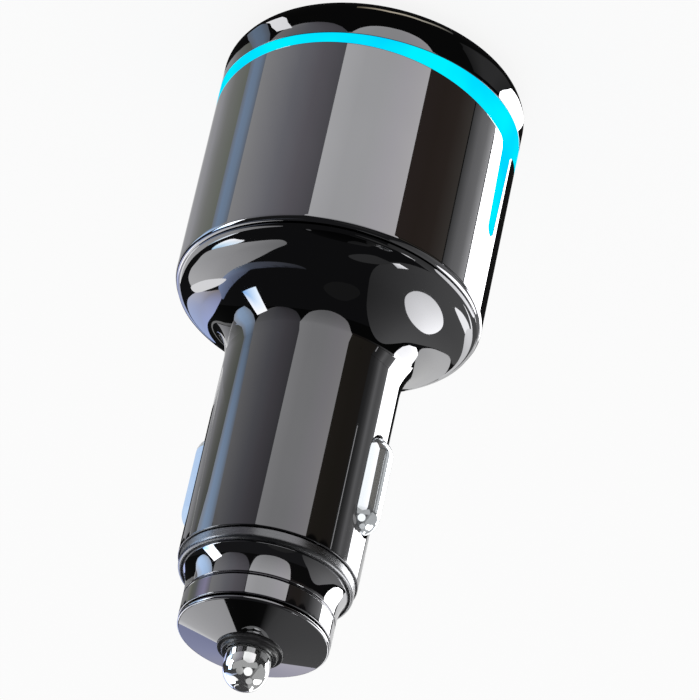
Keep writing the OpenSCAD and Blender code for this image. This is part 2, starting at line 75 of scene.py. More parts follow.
def skin(name, rings, ends="caps"):
    """Joins rings of points, in mm, into one smooth-shaded mesh object.

    Its ends get caps, are joined to each other or stay open, and a ring of one point is a tip.
    """
    verts = []
    faces = []
    starts = []
    for ring in rings:
        starts.append(len(verts))
        verts += [(x * MM, y * MM, z * MM) for x, y, z in ring]
    pairs = list(zip(range(len(rings) - 1), range(1, len(rings))))
    if ends == "joined":
        pairs.append((len(rings) - 1, 0))
    for low, high in pairs:
        a, b = starts[low], starts[high]
        m, n = len(rings[low]), len(rings[high])
        for i in range(max(m, n)):
            j = (i + 1) % max(m, n)
            if m == 1:
                faces.append((a, b + j, b + i))
            elif n == 1:
                faces.append((a + i, a + j, b))
            else:
                faces.append((a + i, a + j, b + j, b + i))
    if ends == "caps":
        for ring, start, flip in ((rings[0], starts[0], True), (rings[-1], starts[-1], False)):
            if len(ring) > 1:
                cap = list(range(start, start + len(ring)))
                faces.append(tuple(reversed(cap)) if flip else tuple(cap))
    mesh = bpy.data.meshes.new(name)
    mesh.from_pydata(verts, [], faces)
    mesh.validate()
    mesh.shade_smooth()
    piece = bpy.data.objects.new(name, mesh)
    bpy.context.scene.collection.objects.link(piece)
    return piece


def arc(cx, cz, radius, start, end, steps=10):
    """Points on an arc in the turned outline, angles in degrees."""
    turns = [math.radians(start + (end - start) * i / steps) for i in range(steps + 1)]
    return [(cx + radius * math.cos(t), cz + radius * math.sin(t)) for t in turns]


def held(outline, closed=True):
    """Adds a point close to each end of a long straight run, so that it shades flat."""
    points = []
    count = len(outline)
    for i in range(count):
        points.append(outline[i])
        if i == count - 1 and not closed:
            break
        here, there = Vector(outline[i]), Vector(outline[(i + 1) % count])
        run = there - here
        if run.length > 5 * HOLD:
            points.append(tuple(here + run.normalized() * HOLD))
            points.append(tuple(there - run.normalized() * HOLD))
    return points


def turned(name, outline, closed=True):
    """A turned piece: its outline of (radius, height) points carried round the Z axis."""
    spin = [math.tau * i / AROUND for i in range(AROUND)]
    rings = []
    for r, z in held(outline, closed):
        rings.append([(r * math.cos(t), r * math.sin(t), z) for t in spin] if r else [(0, 0, z)])
    return skin(name, rings, "joined" if closed else "open")


def ring_border():
    """The border between ring and shell on a quarter of the head: (distance round it, height)."""
    curve_steps, side_steps, round_steps = 14, 22, 56
    slope = (RING_HIGH - RING_LOW) / HEAD_R
    top = RIM_H + RING_HIGH
    tip_r = TAIL_TIP / 2
    tip_z = TAIL_END - tip_r
    taper = (TAIL_ROOT - TAIL_TIP) / 2 / (tip_z - top)
    # The fillet's centre is its radius away from the ring's edge and from the tail's side.
    over_ring = top + TAIL_ROUND * math.hypot(1, slope)
    beside_tail = TAIL_ROOT / 2 + taper * top + TAIL_ROUND * math.hypot(1, taper)
    cy = (beside_tail - taper * over_ring) / (1 - taper * slope)
    cz = over_ring - slope * cy
    start = -180 + math.degrees(math.atan(taper))
    end = -90 - math.degrees(math.atan(slope))
    flat = arc(0, tip_z, tip_r, 90, 2, curve_steps)
    corner = arc(cy, cz, TAIL_ROUND, start, end, curve_steps)
    (y0, z0), (y1, z1) = flat[-1], corner[0]
    for k in range(1, side_steps):
        flat.append((y0 + (y1 - y0) * k / side_steps, z0 + (z1 - z0) * k / side_steps))
    points = [(HEAD_R * math.asin(min(y / HEAD_R, 1)), z) for y, z in flat + corner]
    quarter = HEAD_R * math.pi / 2
    start = points[-1][0]
    for k in range(1, round_steps + 1):
        u = start + (quarter - start) * k / round_steps
        points.append((u, top - slope * HEAD_R * math.sin(u / HEAD_R)))
    return points


def shifted(points, shift):
    """The same border moved sideways by shift, towards the shell where shift is above 0."""
    moved = []
    for i, (u, z) in enumerate(points):
        a = points[max(i - 1, 0)]
        b = points[min(i + 1, len(points) - 1)]
        along = Vector((b[0] - a[0], b[1] - a[1])).normalized()
        nu, nz = -along.y, along.x
        if i in (0, len(points) - 1):
            nu, nz = 0, 1
        moved.append((u + nu * shift, z + nz * shift))
    return moved


def all_round(quarter):
    """Mirrors a quarter border to the whole head: (angle, height) pairs, from +X round."""
    angles = [(u / HEAD_R, z) for u, z in quarter]
    back = [(math.pi - t, z) for t, z in reversed(angles[:-1])]
    half = angles + back
    rest = [(t + math.pi, z) for t, z in half[1:-1]]
    return half + rest


def border_ring(pairs, radius, height=None):
    """The border's (angle, height) pairs as points at a radius, or all at one height."""
    return [(radius * math.cos(t), radius * math.sin(t), z if height is None else height) for t, z in pairs]


border = ring_border()
shell_cut = all_round(shifted(border, GUIDE_GAP))
shell_outer = all_round(shifted(border, GUIDE_GAP + CUT_EDGE))
shell_hold = [(t, z + HOLD) for t, z in shell_outer]
shell_rings = [
    border_ring(shell_cut, SHELL_R),
    border_ring(shell_cut, SHELL_R + HOLD),
    border_ring(shell_cut, HEAD_R - CUT_EDGE - HOLD),
    border_ring(shell_cut, HEAD_R - CUT_EDGE),
    border_ring(shell_outer, HEAD_R),
    border_ring(shell_hold, HEAD_R),
    border_ring(shell_outer, HEAD_R, HEAD_END - SHELL_EDGE - HOLD),
]
for r, z in arc(HEAD_R - SHELL_EDGE, HEAD_END - SHELL_EDGE, SHELL_EDGE, 0, 90):
    shell_rings.append(border_ring(shell_outer, r, z))
shell_rings.append(border_ring(shell_outer, SHELL_R + INNER_EDGE, HEAD_END))
shell_rings.append(border_ring(shell_outer, SHELL_R, HEAD_END - INNER_EDGE))
head_shell = skin("head_shell_plated", shell_rings, "joined")


def shader_group(name, inputs, outputs):
    """An empty group of shader nodes, with numbers in (label: usual value) and numbers out."""
    group = bpy.data.node_groups.new(name, "ShaderNodeTree")
    for label, value in inputs.items():
        socket = group.interface.new_socket(label, in_out="INPUT", socket_type="NodeSocketFloat")
        socket.default_value = value
    for label in outputs:
        group.interface.new_socket(label, in_out="OUTPUT", socket_type="NodeSocketFloat")
    return group, group.nodes.new("NodeGroupInput"), group.nodes.new("NodeGroupOutput")


def placed(tree, group, **values):
    """A group's node in a material, with that material's own values."""
    node = tree.nodes.new("ShaderNodeGroup")
    node.node_tree = group
    for label, value in values.items():
        node.inputs[label].default_value = value
    return node


def feed(tree, slot, value):
    """Links a node's socket to another socket, or sets its value."""
    if isinstance(value, bpy.types.NodeSocket):
        tree.links.new(value, slot)
    else:
        slot.default_value = value


def noise(tree, scale, detail, stretch=(1, 1, 1)):
    """A noise in the object's own millimetres, stretched where asked, as a socket."""
    place = tree.nodes.new("ShaderNodeTexCoord")
    fit = tree.nodes.new("ShaderNodeMapping")
    fit.inputs["Scale"].default_value = [k / MM for k in stretch]
    tree.links.new(place.outputs["Object"], fit.inputs["Vector"])
    grain = tree.nodes.new("ShaderNodeTexNoise")
    grain.inputs["Detail"].default_value = detail
    feed(tree, grain.inputs["Scale"], scale)
    tree.links.new(fit.outputs["Vector"], grain.inputs["Vector"])
    return grain.outputs["Fac"]


def spread(tree, source, low, high, to_low=0, to_high=1):
    """Maps a value from one range to another, held at the ends."""
    node = tree.nodes.new("ShaderNodeMapRange")
    for label, value in (("From Min", low), ("From Max", high), ("To Min", to_low), ("To Max", to_high)):
        feed(tree, node.inputs[label], value)
    tree.links.new(source, node.inputs["Value"])
    return node.outputs["Result"]


def worked(tree, operation, first, second):
    """The result of one Math node on two values."""
    node = tree.nodes.new("ShaderNodeMath")
    node.operation = operation
    feed(tree, node.inputs[0], first)
    feed(tree, node.inputs[1], second)
    return node.outputs["Value"]


def blended(tree, factor, first, second):
    """Mixes two colours, each a socket or (red, green, blue)."""
    node = tree.nodes.new("ShaderNodeMix")
    node.data_type = "RGBA"
    # For colours, a Mix node's sockets are inputs 0, 6 and 7 and output 2.
    factor_in, *colours_in = (node.inputs[k] for k in (0, 6, 7))
    tree.links.new(factor, factor_in)
    for slot, colour in zip(colours_in, (first, second)):
        feed(tree, slot, (*colour, 1) if isinstance(colour, tuple) else colour)
    return node.outputs[2]


# Handling marks: a soft haze of fingertip oil and hair-fine rub lines, on every polished part.
handled, group_in, group_out = shader_group(
    "handling_marks", {"Clean": 0.04, "Marked": 0.09}, ["Roughness", "Height"])
haze = spread(handled, noise(handled, 0.09, 3), 0.5, 0.72)
rubs = spread(handled, noise(handled, 0.5, 2, stretch=(1, 1, 14)), 0.66, 0.74, 0, 0.35)
both = worked(handled, "MAXIMUM", haze, rubs)
rough = spread(handled, both, 0, 1, group_in.outputs["Clean"], group_in.outputs["Marked"])
handled.links.new(rough, group_out.inputs["Roughness"])
handled.links.new(noise(handled, 0.35, 1), group_out.inputs["Height"])


def material(name):
    """An empty material with its Principled shader."""
    made = bpy.data.materials.new(name)
    made.use_nodes = True
    return made, made.node_tree, made.node_tree.nodes["Principled BSDF"]


def relief(tree, shader, height, strength, depth):
    """Bumps the surface by a height, over a real depth in mm."""
    bump = tree.nodes.new("ShaderNodeBump")
    bump.inputs["Strength"].default_value = strength
    bump.inputs["Distance"].default_value = depth * MM
    tree.links.new(height, bump.inputs["Height"])
    tree.links.new(bump.outputs["Normal"], shader.inputs["Normal"])


def plating(name, thin, thick, clean, marked, metallic=1):
    """Plated mirror metal, a little darker where the plating is thick, with handling marks."""
    made, tree, shader = material(name)
    shader.inputs["Metallic"].default_value = metallic
    cloud = spread(tree, noise(tree, 0.05, 2), 0.35, 0.65)
    tree.links.new(blended(tree, cloud, thin, thick), shader.inputs["Base Color"])
    marks = placed(tree, handled, Clean=clean, Marked=marked)
    tree.links.new(marks.outputs["Roughness"], shader.inputs["Roughness"])
    relief(tree, shader, marks.outputs["Height"], strength=0.5, depth=0.0004)
    return made


def finish(piece, made, body, slot, *nodes):
    """Gives a piece its material and body, and hides the CAD nodes that it stands for. Its slot is not used.
    """
    piece.data.materials.clear()
    piece.data.materials.append(made)
    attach(piece, body)
    if nodes:
        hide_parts(*nodes)


dark_chrome = plating("dark_chrome", (0.275, 0.275, 0.285), (0.255, 0.255, 0.265), clean=0.025, marked=0.055)
finish(head_shell, dark_chrome, "housing", "dark_chrome", "head_shell")

# Light ring
# The light ring is one moulding of clear-tinted acrylic, lit cyan from behind by the diodes.
# It sits flush in the cut end of the head shell, with a tail down each side.
ring_cut = all_round(border)
ring_outer = all_round(shifted(border, -CUT_EDGE))
ring_rings = [
    border_ring(ring_cut, SHELL_R, RIM_H),
    border_ring(ring_cut, HEAD_R - CUT_EDGE, RIM_H),
    border_ring(ring_outer, HEAD_R, RIM_H + CUT_EDGE),
    border_ring(ring_outer, HEAD_R, RIM_H + CUT_EDGE + HOLD),
    border_ring([(t, z - HOLD) for t, z in ring_outer], HEAD_R),
    border_ring(ring_outer, HEAD_R),
    border_ring(ring_cut, HEAD_R - CUT_EDGE),
    border_ring(ring_cut, SHELL_R),
]
light_ring = skin("light_ring_guide", ring_rings, "joined")
light_guide, tree, shader = material("light_guide")
shader.inputs["Base Color"].default_value = (0.0, 0.1, 0.12, 1)
shader.inputs["IOR"].default_value = 1.49
shader.inputs["Specular IOR Level"].default_value = 0
shader.inputs["Emission Strength"].default_value = 1
glow = spread(tree, noise(tree, 0.12, 2), 0.35, 0.65)
tree.links.new(blended(tree, glow, (0.0, 0.61, 1.0), (0.0, 0.8, 0.96)), shader.inputs["Emission Color"])
frost = spread(tree, noise(tree, 3, 2), 0.3, 0.7, 0.25, 0.4)
tree.links.new(frost, shader.inputs["Roughness"])
finish(light_ring, light_guide, "housing", "light_guide", "light_ring")

# Rim cap
# The rim cap closes the port end: a turned plastic ring with a broad rounded edge, plated gloss
# black. Its spigot is glued inside the light ring and the head shell.
RIM_WIDE = 5.0
RIM_TALL = 3.6
MOUTH_R = 12.85
LIP_T = 2.4
LIP_EDGE = 0.3
SPIGOT_R = 16.95
SPIGOT_END = 7.15
SPIGOT_EDGE = 0.1
CAVITY_R = 15.85
rim_outline = []
for angle in (90, 70, 50, 30, 10, 0):
    t = math.radians(angle)
    rim_outline.append((MOUTH_R + LIP_EDGE - LIP_EDGE * math.sin(t), LIP_EDGE - LIP_EDGE * math.cos(t)))
for angle in range(-90, 1, 3):
    t = math.radians(angle)
    rim_outline.append((HEAD_R + RIM_WIDE * (math.cos(t) - 1), RIM_TALL * (1 + math.sin(t))))
rim_outline += arc(HEAD_R - CUT_EDGE, RIM_H - CUT_EDGE, CUT_EDGE, 0, 90, 4)
rim_outline += [(SPIGOT_R, RIM_H), (SPIGOT_R, SPIGOT_END - SPIGOT_EDGE)]
rim_outline += [(SPIGOT_R - SPIGOT_EDGE, SPIGOT_END), (CAVITY_R, SPIGOT_END)]
rim_outline += [(CAVITY_R, LIP_T), (MOUTH_R, LIP_T)]
rim_cap = turned("rim_cap_plated", rim_outline)
rim_gloss = plating("rim_gloss", (0.2, 0.2, 0.207), (0.18, 0.18, 0.187), clean=0.02, marked=0.05)
finish(rim_cap, rim_gloss, "housing", "rim_gloss", "rim_cap")

# Barrel
# Shoulder, flare and neck are one plastic moulding, plated a shade darker than the head. Its
# spigot is glued into the head shell, and two slots in the neck let the side contacts out.
SEAM = 33.47
SHOULDER_R = 16.8
SHOULDER_Z = 32.4
SHOULDER_ROUND = 1.5
SHOULDER_TURNS = (45.51, 71.77)
FLARE_R = 9.923
NECK_R = 10.45
NECK_WALL_R = 9.25
NECK_START = 43.25
NECK_EDGE = 0.12
BARREL_START = 30.75
BARREL_IN_R = 15.95
BARREL_LEAD = 0.3
FUNNEL_END = 38.55
BARREL_END = 69.65
NECK_RINGS = range(47, 68, 4)  # heights of rings that keep the faces round the slots short
CONTACT_MID = 57.95
CONTACT_LEN = 12.7
CONTACT_W = 4.8
SLOT_GAP = 0.15
SLOT_CUTS = ((6, 0), (10.25, 0), (10.6, 0.25), (12, 0.25))  # distance from the axis, extra width
SHARP_ANGLE = 28
barrel_outline = [(BARREL_IN_R, BARREL_START), (SPIGOT_R - BARREL_LEAD, BARREL_START)]
barrel_outline += [(SPIGOT_R, BARREL_START + BARREL_LEAD), (SPIGOT_R, SEAM)]
barrel_outline += arc(SHOULDER_R, SHOULDER_Z, SHOULDER_ROUND, *SHOULDER_TURNS, 12)
barrel_outline += arc(NECK_R + FLARE_R, NECK_START, FLARE_R, 180 + SHOULDER_TURNS[1], 180, 44)[1:]
barrel_outline += [(NECK_R, height) for height in NECK_RINGS]
barrel_outline += arc(NECK_R - NECK_EDGE, BARREL_END - NECK_EDGE, NECK_EDGE, 0, 90, 4)
barrel_outline += [(NECK_WALL_R, BARREL_END), (NECK_WALL_R, FUNNEL_END), (BARREL_IN_R, HEAD_END)]
barrel = turned("barrel_plated", barrel_outline)


def pill(half_bar, radius, depth, steps=18):
    """A pill-shaped ring in the plane across X: straight sides along Z, half-round ends."""
    ring = []
    for centre, start in ((half_bar, 0), (-half_bar, 180)):
        for k in range(steps + 1):
            t = math.radians(start + 180 * k / steps)
            ring.append((depth, radius * math.cos(t), CONTACT_MID + centre + radius * math.sin(t)))
    return ring


def cut(piece, cutter):
    """Cuts one solid out of another and removes the cutter."""
    step = piece.modifiers.new("cut", "BOOLEAN")
    step.operation = "DIFFERENCE"
    step.solver = "EXACT"
    step.object = cutter
    bpy.context.view_layer.update()
    shape = piece.evaluated_get(bpy.context.evaluated_depsgraph_get())
    result = bpy.data.meshes.new_from_object(shape)
    piece.modifiers.clear()
    piece.data = result
    bpy.data.objects.remove(cutter)


bar_half = (CONTACT_LEN - CONTACT_W) / 2
slot_r = CONTACT_W / 2 + SLOT_GAP
for side in (1, -1):
    cutter = skin("slot_cutter", [pill(bar_half, slot_r + wider, out * side) for out, wider in SLOT_CUTS])
    if side < 0:
        cutter.data.flip_normals()
    cut(barrel, cutter)
barrel.data.set_sharp_from_angle(angle=math.radians(SHARP_ANGLE))


def barrel_lean(place):
    """How far the barrel's outer face leans back at a point in mm, or None off that face."""
    neck_near, flare_near, rise_near, end_margin = 0.01, 0.02, 0.0001, 0.15
    radius, height = math.hypot(place.x, place.y), place.z
    if NECK_START <= height < BARREL_END - end_margin:
        return 0 if abs(radius - NECK_R) < neck_near else None
    rise = (NECK_START - height) / FLARE_R
    if height > NECK_START or rise > math.sin(math.radians(SHOULDER_TURNS[1])) + rise_near:
        return None
    lean = math.asin(min(rise, 1))
    return lean if abs(radius - NECK_R - FLARE_R * (1 - math.cos(lean))) < flare_near else None


# The cuts leave long thin faces round the slots, so the outer face is given its true normals there.
normals = [Vector((0, 0, 0))] * len(barrel.data.loops)
for face in barrel.data.polygons:
    places = [barrel.data.vertices[v].co / MM for v in face.vertices]
    leans = [barrel_lean(place) for place in places]
    if None in leans:
        continue
    for loop, place, lean in zip(face.loop_indices, places, leans):
        out = Vector((place.x, place.y, 0)).normalized() * math.cos(lean)
        normals[loop] = out + Vector((0, 0, math.sin(lean)))
barrel.data.normals_split_custom_set(normals)
smoked_chrome = plating("smoked_chrome", (0.14, 0.14, 0.145), (0.13, 0.13, 0.135), clean=0.02, marked=0.05)
finish(barrel, smoked_chrome, "housing", "dark_chrome", "barrel")

# Side contacts
# Each side contact is a bar of nickel-plated brass with domed ends, pushed out through its slot by
# a coil spring. A wide foot behind the wall keeps it from falling out.
CONTACT_AXIS = 9.6
FOOT_FACE = 8.565
FOOT_T = 1.0
FOOT_MARGIN = 0.7
FOOT_EDGE = 0.15
DOME_STEPS = 23
DOME_SWEEP = 88
bar_r = CONTACT_W / 2
foot_r = bar_r + FOOT_MARGIN
foot_back = FOOT_FACE - FOOT_T
contact_layers = [(foot_back, foot_r - FOOT_EDGE), (foot_back + FOOT_EDGE, foot_r)]
contact_layers += [(FOOT_FACE - FOOT_EDGE, foot_r), (FOOT_FACE, foot_r - FOOT_EDGE)]
contact_layers += [(FOOT_FACE, bar_r + HOLD), (FOOT_FACE + HOLD, bar_r), (CONTACT_AXIS - HOLD, bar_r)]
for k in range(DOME_STEPS + 1):
    t = math.radians(DOME_SWEEP * k / DOME_STEPS)
    contact_layers.append((CONTACT_AXIS + bar_r * math.sin(t), bar_r * math.cos(t)))
bright_chrome = plating("contact_chrome", (0.88, 0.92, 0.95), (0.82, 0.86, 0.89), clean=0.045, marked=0.11,
                        metallic=0.88)
for side, body, label in ((1, "right_contact", "right"), (-1, "left_contact", "left")):
    layers = [pill(bar_half, r, x * side) for x, r in contact_layers]
    contact = skin("side_contact_" + label + "_bar", layers)
    if side < 0:
        contact.data.flip_normals()
    finish(contact, bright_chrome, body, "contact_chrome", "side_contact_" + label)

# Collar ring
# A turned ring with a satin dark finish sits between neck and nose. It is trapped between the
# two when the nose sleeve is screwed in.
COLLAR_R = 10.2
COLLAR_IN_R = 9.35
COLLAR_END = 71.15
COLLAR_ROUND = 0.48
COLLAR_EDGE = 0.1
COLLAR_GAP = 0.02
collar_start = BARREL_END + COLLAR_GAP
collar_outline = [(COLLAR_IN_R, collar_start), (COLLAR_R - COLLAR_EDGE, collar_start)]
collar_outline += [(COLLAR_R, collar_start + COLLAR_EDGE)]
collar_outline += arc(COLLAR_R - COLLAR_ROUND, COLLAR_END - COLLAR_ROUND, COLLAR_ROUND, 0, 90, 8)
collar_outline += [(COLLAR_IN_R, COLLAR_END)]
collar_ring = turned("collar_ring_satin", collar_outline)
collar_satin, tree, shader = material("collar_satin")
shader.inputs["Metallic"].default_value = 1
brush = noise(tree, 0.8, 3, stretch=(1, 1, 16))
tone = blended(tree, spread(tree, brush, 0.3, 0.7), (0.15, 0.152, 0.158), (0.19, 0.192, 0.2))
tree.links.new(tone, shader.inputs["Base Color"])
tree.links.new(spread(tree, brush, 0.3, 0.7, 0.24, 0.34), shader.inputs["Roughness"])
relief(tree, shader, brush, strength=0.4, depth=0.004)
finish(collar_ring, collar_satin, "housing", "collar_satin", "collar_ring")

# Nose sleeve
# The nose is a turned sleeve in dark chrome with one thin groove near its end. Its spigot
# goes up inside the neck behind the collar.
NOSE_R = 8.83
NOSE_IN_R = 7.62
NOSE_END = 77.55
NOSE_EDGE = 0.15
NOSE_SPIGOT_R = 9.15
NOSE_SPIGOT_START = 67.55
NOSE_SPIGOT_EDGE = 0.1
GROOVE_Z = 74.9
GROOVE_W = 0.35
GROOVE_DEEP = 0.3
GROOVE_EDGE = 0.06
ROOT_H = 3.75
ROOT_LEAN = 33
ROOT_STEPS = 24
nose_outline = [(NOSE_IN_R, NOSE_SPIGOT_START), (NOSE_SPIGOT_R - NOSE_SPIGOT_EDGE, NOSE_SPIGOT_START)]
nose_outline += [(NOSE_SPIGOT_R, NOSE_SPIGOT_START + NOSE_SPIGOT_EDGE)]
nose_outline += [(NOSE_SPIGOT_R, COLLAR_END - NOSE_SPIGOT_EDGE)]
root = [(NOSE_R, COLLAR_END + COLLAR_GAP + ROOT_H)]
for k in range(ROOT_STEPS):
    lean = math.radians(ROOT_LEAN * ((k + 0.5) / ROOT_STEPS) ** 2)
    root.append((root[-1][0] + math.tan(lean) * ROOT_H / ROOT_STEPS, root[-1][1] - ROOT_H / ROOT_STEPS))
nose_outline += root[:0:-1]
groove_low, groove_high = GROOVE_Z - GROOVE_W / 2, GROOVE_Z + GROOVE_W / 2
nose_outline += arc(NOSE_R - GROOVE_EDGE, groove_low - GROOVE_EDGE, GROOVE_EDGE, 0, 90, 3)
nose_outline += [(NOSE_R - GROOVE_DEEP, groove_low), (NOSE_R - GROOVE_DEEP, groove_high)]
nose_outline += arc(NOSE_R - GROOVE_EDGE, groove_high + GROOVE_EDGE, GROOVE_EDGE, -90, 0, 3)
nose_outline += arc(NOSE_R - NOSE_EDGE, NOSE_END - NOSE_EDGE, NOSE_EDGE, 0, 90, 5)
nose_outline += [(NOSE_IN_R, NOSE_END)]
nose_sleeve = turned("nose_sleeve_plated", nose_outline)
finish(nose_sleeve, dark_chrome, "housing", "dark_chrome", "nose_sleeve")

# End cap
# The end cap is a thin flange with a shallow cone, plated like the nose. Its spigot is pressed
# into the sleeve and leaves a fine shadow gap between them.
FLANGE_Z = 77.77
FLANGE_R = 8.8
FLANGE_H = 0.55
CAP_TOP = 79.82
BUSH_R = 3.61
CAP_SPIGOT_R = 7.52
BUSH_START = 74.77
WASHER_R = 3.82
flange_round = FLANGE_H / 2
cap_outline = [(BUSH_R, BUSH_START), (CAP_SPIGOT_R, BUSH_START), (CAP_SPIGOT_R, FLANGE_Z)]
cap_outline += arc(FLANGE_R - flange_round, FLANGE_Z + flange_round, flange_round, -90, 72, 12)
cap_outline += [(WASHER_R, CAP_TOP), (BUSH_R, CAP_TOP)]
end_cap = turned("end_cap_plated", cap_outline)
finish(end_cap, dark_chrome, "housing", "dark_chrome", "end_cap")

# Pin washer
# A black washer with a raised middle insulates the pin from the cap. Washer and bush are one
# nylon moulding that lines the cap's bore.
WASHER_T = 0.35
WASHER_EDGE = 0.1
WASHER_GAP = 0.02
LINER_R = 3.56
BOSS_R = 3.25
BOSS_H = 0.45
BOSS_EDGE = 0.15
BORE_R = 2.76
washer_r = WASHER_R - WASHER_GAP
washer_top = CAP_TOP + WASHER_T
boss_top = washer_top + BOSS_H
washer_outline = [(BORE_R, BUSH_START), (LINER_R, BUSH_START), (LINER_R, CAP_TOP), (washer_r, CAP_TOP)]
washer_outline += arc(WASHER_R - WASHER_EDGE, washer_top - WASHER_EDGE, WASHER_EDGE, 0, 90, 4)
washer_outline += [(BOSS_R + HOLD, washer_top), (BOSS_R, washer_top + HOLD)]
washer_outline += arc(BOSS_R - BOSS_EDGE, boss_top - BOSS_EDGE, BOSS_EDGE, 0, 90, 5)
washer_outline += [(BORE_R, boss_top)]
pin_washer = turned("pin_washer_moulded", washer_outline)
washer_black, tree, shader = material("washer_black")
speck = noise(tree, 4, 3)
tone = blended(tree, spread(tree, speck, 0.3, 0.7), (0.012, 0.012, 0.013), (0.022, 0.022, 0.023))
tree.links.new(tone, shader.inputs["Base Color"])
tree.links.new(spread(tree, speck, 0.3, 0.7, 0.28, 0.42), shader.inputs["Roughness"])
relief(tree, shader, speck, strength=0.3, depth=0.01)
finish(pin_washer, washer_black, "housing", "washer_black", "pin_washer")

# Centre pin
# The sprung pin that meets the socket's live terminal: turned brass under bright nickel, with a
# ball end. Its foot stays behind the bush.
PIN_R = 2.66
PIN_TIP = 84.98
PIN_STEM_R = 1.5
PIN_STEM_H = 1.6
PIN_FOOT_R = 3.3
PIN_FOOT_H = 0.9
PIN_FOOT_Z = 73.72
PIN_EDGE = 0.1
stem_start = PIN_FOOT_Z - PIN_STEM_H
foot_end = PIN_FOOT_Z + PIN_FOOT_H
pin_outline = [(0, stem_start), (PIN_STEM_R - PIN_EDGE, stem_start), (PIN_STEM_R, stem_start + PIN_EDGE)]
pin_outline += [(PIN_STEM_R, PIN_FOOT_Z), (PIN_FOOT_R - PIN_EDGE, PIN_FOOT_Z)]
pin_outline += [(PIN_FOOT_R, PIN_FOOT_Z + PIN_EDGE), (PIN_FOOT_R, foot_end - PIN_EDGE)]
pin_outline += [(PIN_FOOT_R - PIN_EDGE, foot_end), (PIN_R, foot_end)]
pin_outline += arc(0, PIN_TIP - PIN_R, PIN_R, 0, 87, 30)
pin_outline += [(0, PIN_TIP)]
centre_pin = turned("centre_pin_plated", pin_outline, closed=False)
pin_chrome = plating("pin_chrome", (0.88, 0.89, 0.89), (0.82, 0.83, 0.83), clean=0.04, marked=0.1,
                     metallic=0.96)
finish(centre_pin, pin_chrome, "pin", "contact_chrome", "centre_pin")

# Port plate
# The plate that holds the two sockets is a black moulding with a fine spark-eroded grain. It is
# pushed in from behind, against the lip of the rim cap.
grained, group_in, group_out = shader_group(
    "moulded_grain", {"Grain": 6, "Smooth": 0.4, "Rough": 0.55}, ["Roughness", "Height", "Mask"])
pits = noise(grained, group_in.outputs["Grain"], 3)
rough = spread(grained, pits, 0.3, 0.7, group_in.outputs["Smooth"], group_in.outputs["Rough"])
grained.links.new(rough, group_out.inputs["Roughness"])
grained.links.new(pits, group_out.inputs["Height"])
grained.links.new(noise(grained, 0.15, 2), group_out.inputs["Mask"])


def moulded(name, dark, light, grain, smooth, rough, depth):
    """Moulded or pressed matter: two close tones that drift, and a fine grain."""
    made, tree, shader = material(name)
    skin_of = placed(tree, grained, Grain=grain, Smooth=smooth, Rough=rough)
    drift = spread(tree, skin_of.outputs["Mask"], 0.35, 0.65)
    tree.links.new(blended(tree, drift, dark, light), shader.inputs["Base Color"])
    tree.links.new(skin_of.outputs["Roughness"], shader.inputs["Roughness"])
    relief(tree, shader, skin_of.outputs["Height"], strength=0.5, depth=depth)
    return made


def dressed(node, made):
    """Gives a CAD node its material."""
    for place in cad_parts[node].material_slots:
        place.material = made


port_satin = moulded("port_satin", (0.014, 0.014, 0.015), (0.02, 0.02, 0.021),
                     grain=7, smooth=0.36, rough=0.5, depth=0.008)
dressed("port_plate", port_satin)

# Sockets
# Each socket is a shell folded from nickel-plated steel sheet round a moulded tongue, with pressed
# pins that are gold-plated where the plug touches them.
drawn, group_in, group_out = shader_group(
    "drawn_metal", {"Bright": 0.18, "Dull": 0.34}, ["Roughness", "Height", "Mask"])
streaks = noise(drawn, 2.5, 3, stretch=(1, 1, 0.08))
rough = spread(drawn, streaks, 0.3, 0.7, group_in.outputs["Bright"], group_in.outputs["Dull"])
drawn.links.new(rough, group_out.inputs["Roughness"])
drawn.links.new(streaks, group_out.inputs["Height"])
drawn.links.new(noise(drawn, 0.6, 3), group_out.inputs["Mask"])


def drawn_metal(name, fresh, stained, bright, dull):
    """Sheet, wire or can metal with lines from drawing, and faint stains."""
    made, tree, shader = material(name)
    shader.inputs["Metallic"].default_value = 1
    sheet = placed(tree, drawn, Bright=bright, Dull=dull)
    stains = spread(tree, sheet.outputs["Mask"], 0.4, 0.7)
    tree.links.new(blended(tree, stains, fresh, stained), shader.inputs["Base Color"])
    tree.links.new(sheet.outputs["Roughness"], shader.inputs["Roughness"])
    relief(tree, shader, sheet.outputs["Height"], strength=0.4, depth=0.003)
    return made


port_steel = drawn_metal("port_steel", (0.62, 0.61, 0.59), (0.5, 0.49, 0.47), bright=0.18, dull=0.34)
gold_plate = drawn_metal("gold_plate", (0.83, 0.6, 0.24), (0.7, 0.47, 0.17), bright=0.12, dull=0.26)
for shell in ("wide_port_shell", "oval_port_shell"):
    dressed(shell, port_steel)
for pins in ("wide_port_pins", "oval_port_pins"):
    dressed(pins, gold_plate)
tongue_plastic = moulded("tongue_plastic", (0.02, 0.19, 0.2), (0.03, 0.23, 0.24),
                         grain=5, smooth=0.35, rough=0.48, depth=0.004)
dressed("wide_port_tongue", tongue_plastic)
tongue_black = moulded("tongue_black", (0.016, 0.016, 0.017), (0.022, 0.022, 0.023),
                       grain=5, smooth=0.38, rough=0.5, depth=0.004)
dressed("oval_port_tongue", tongue_black)

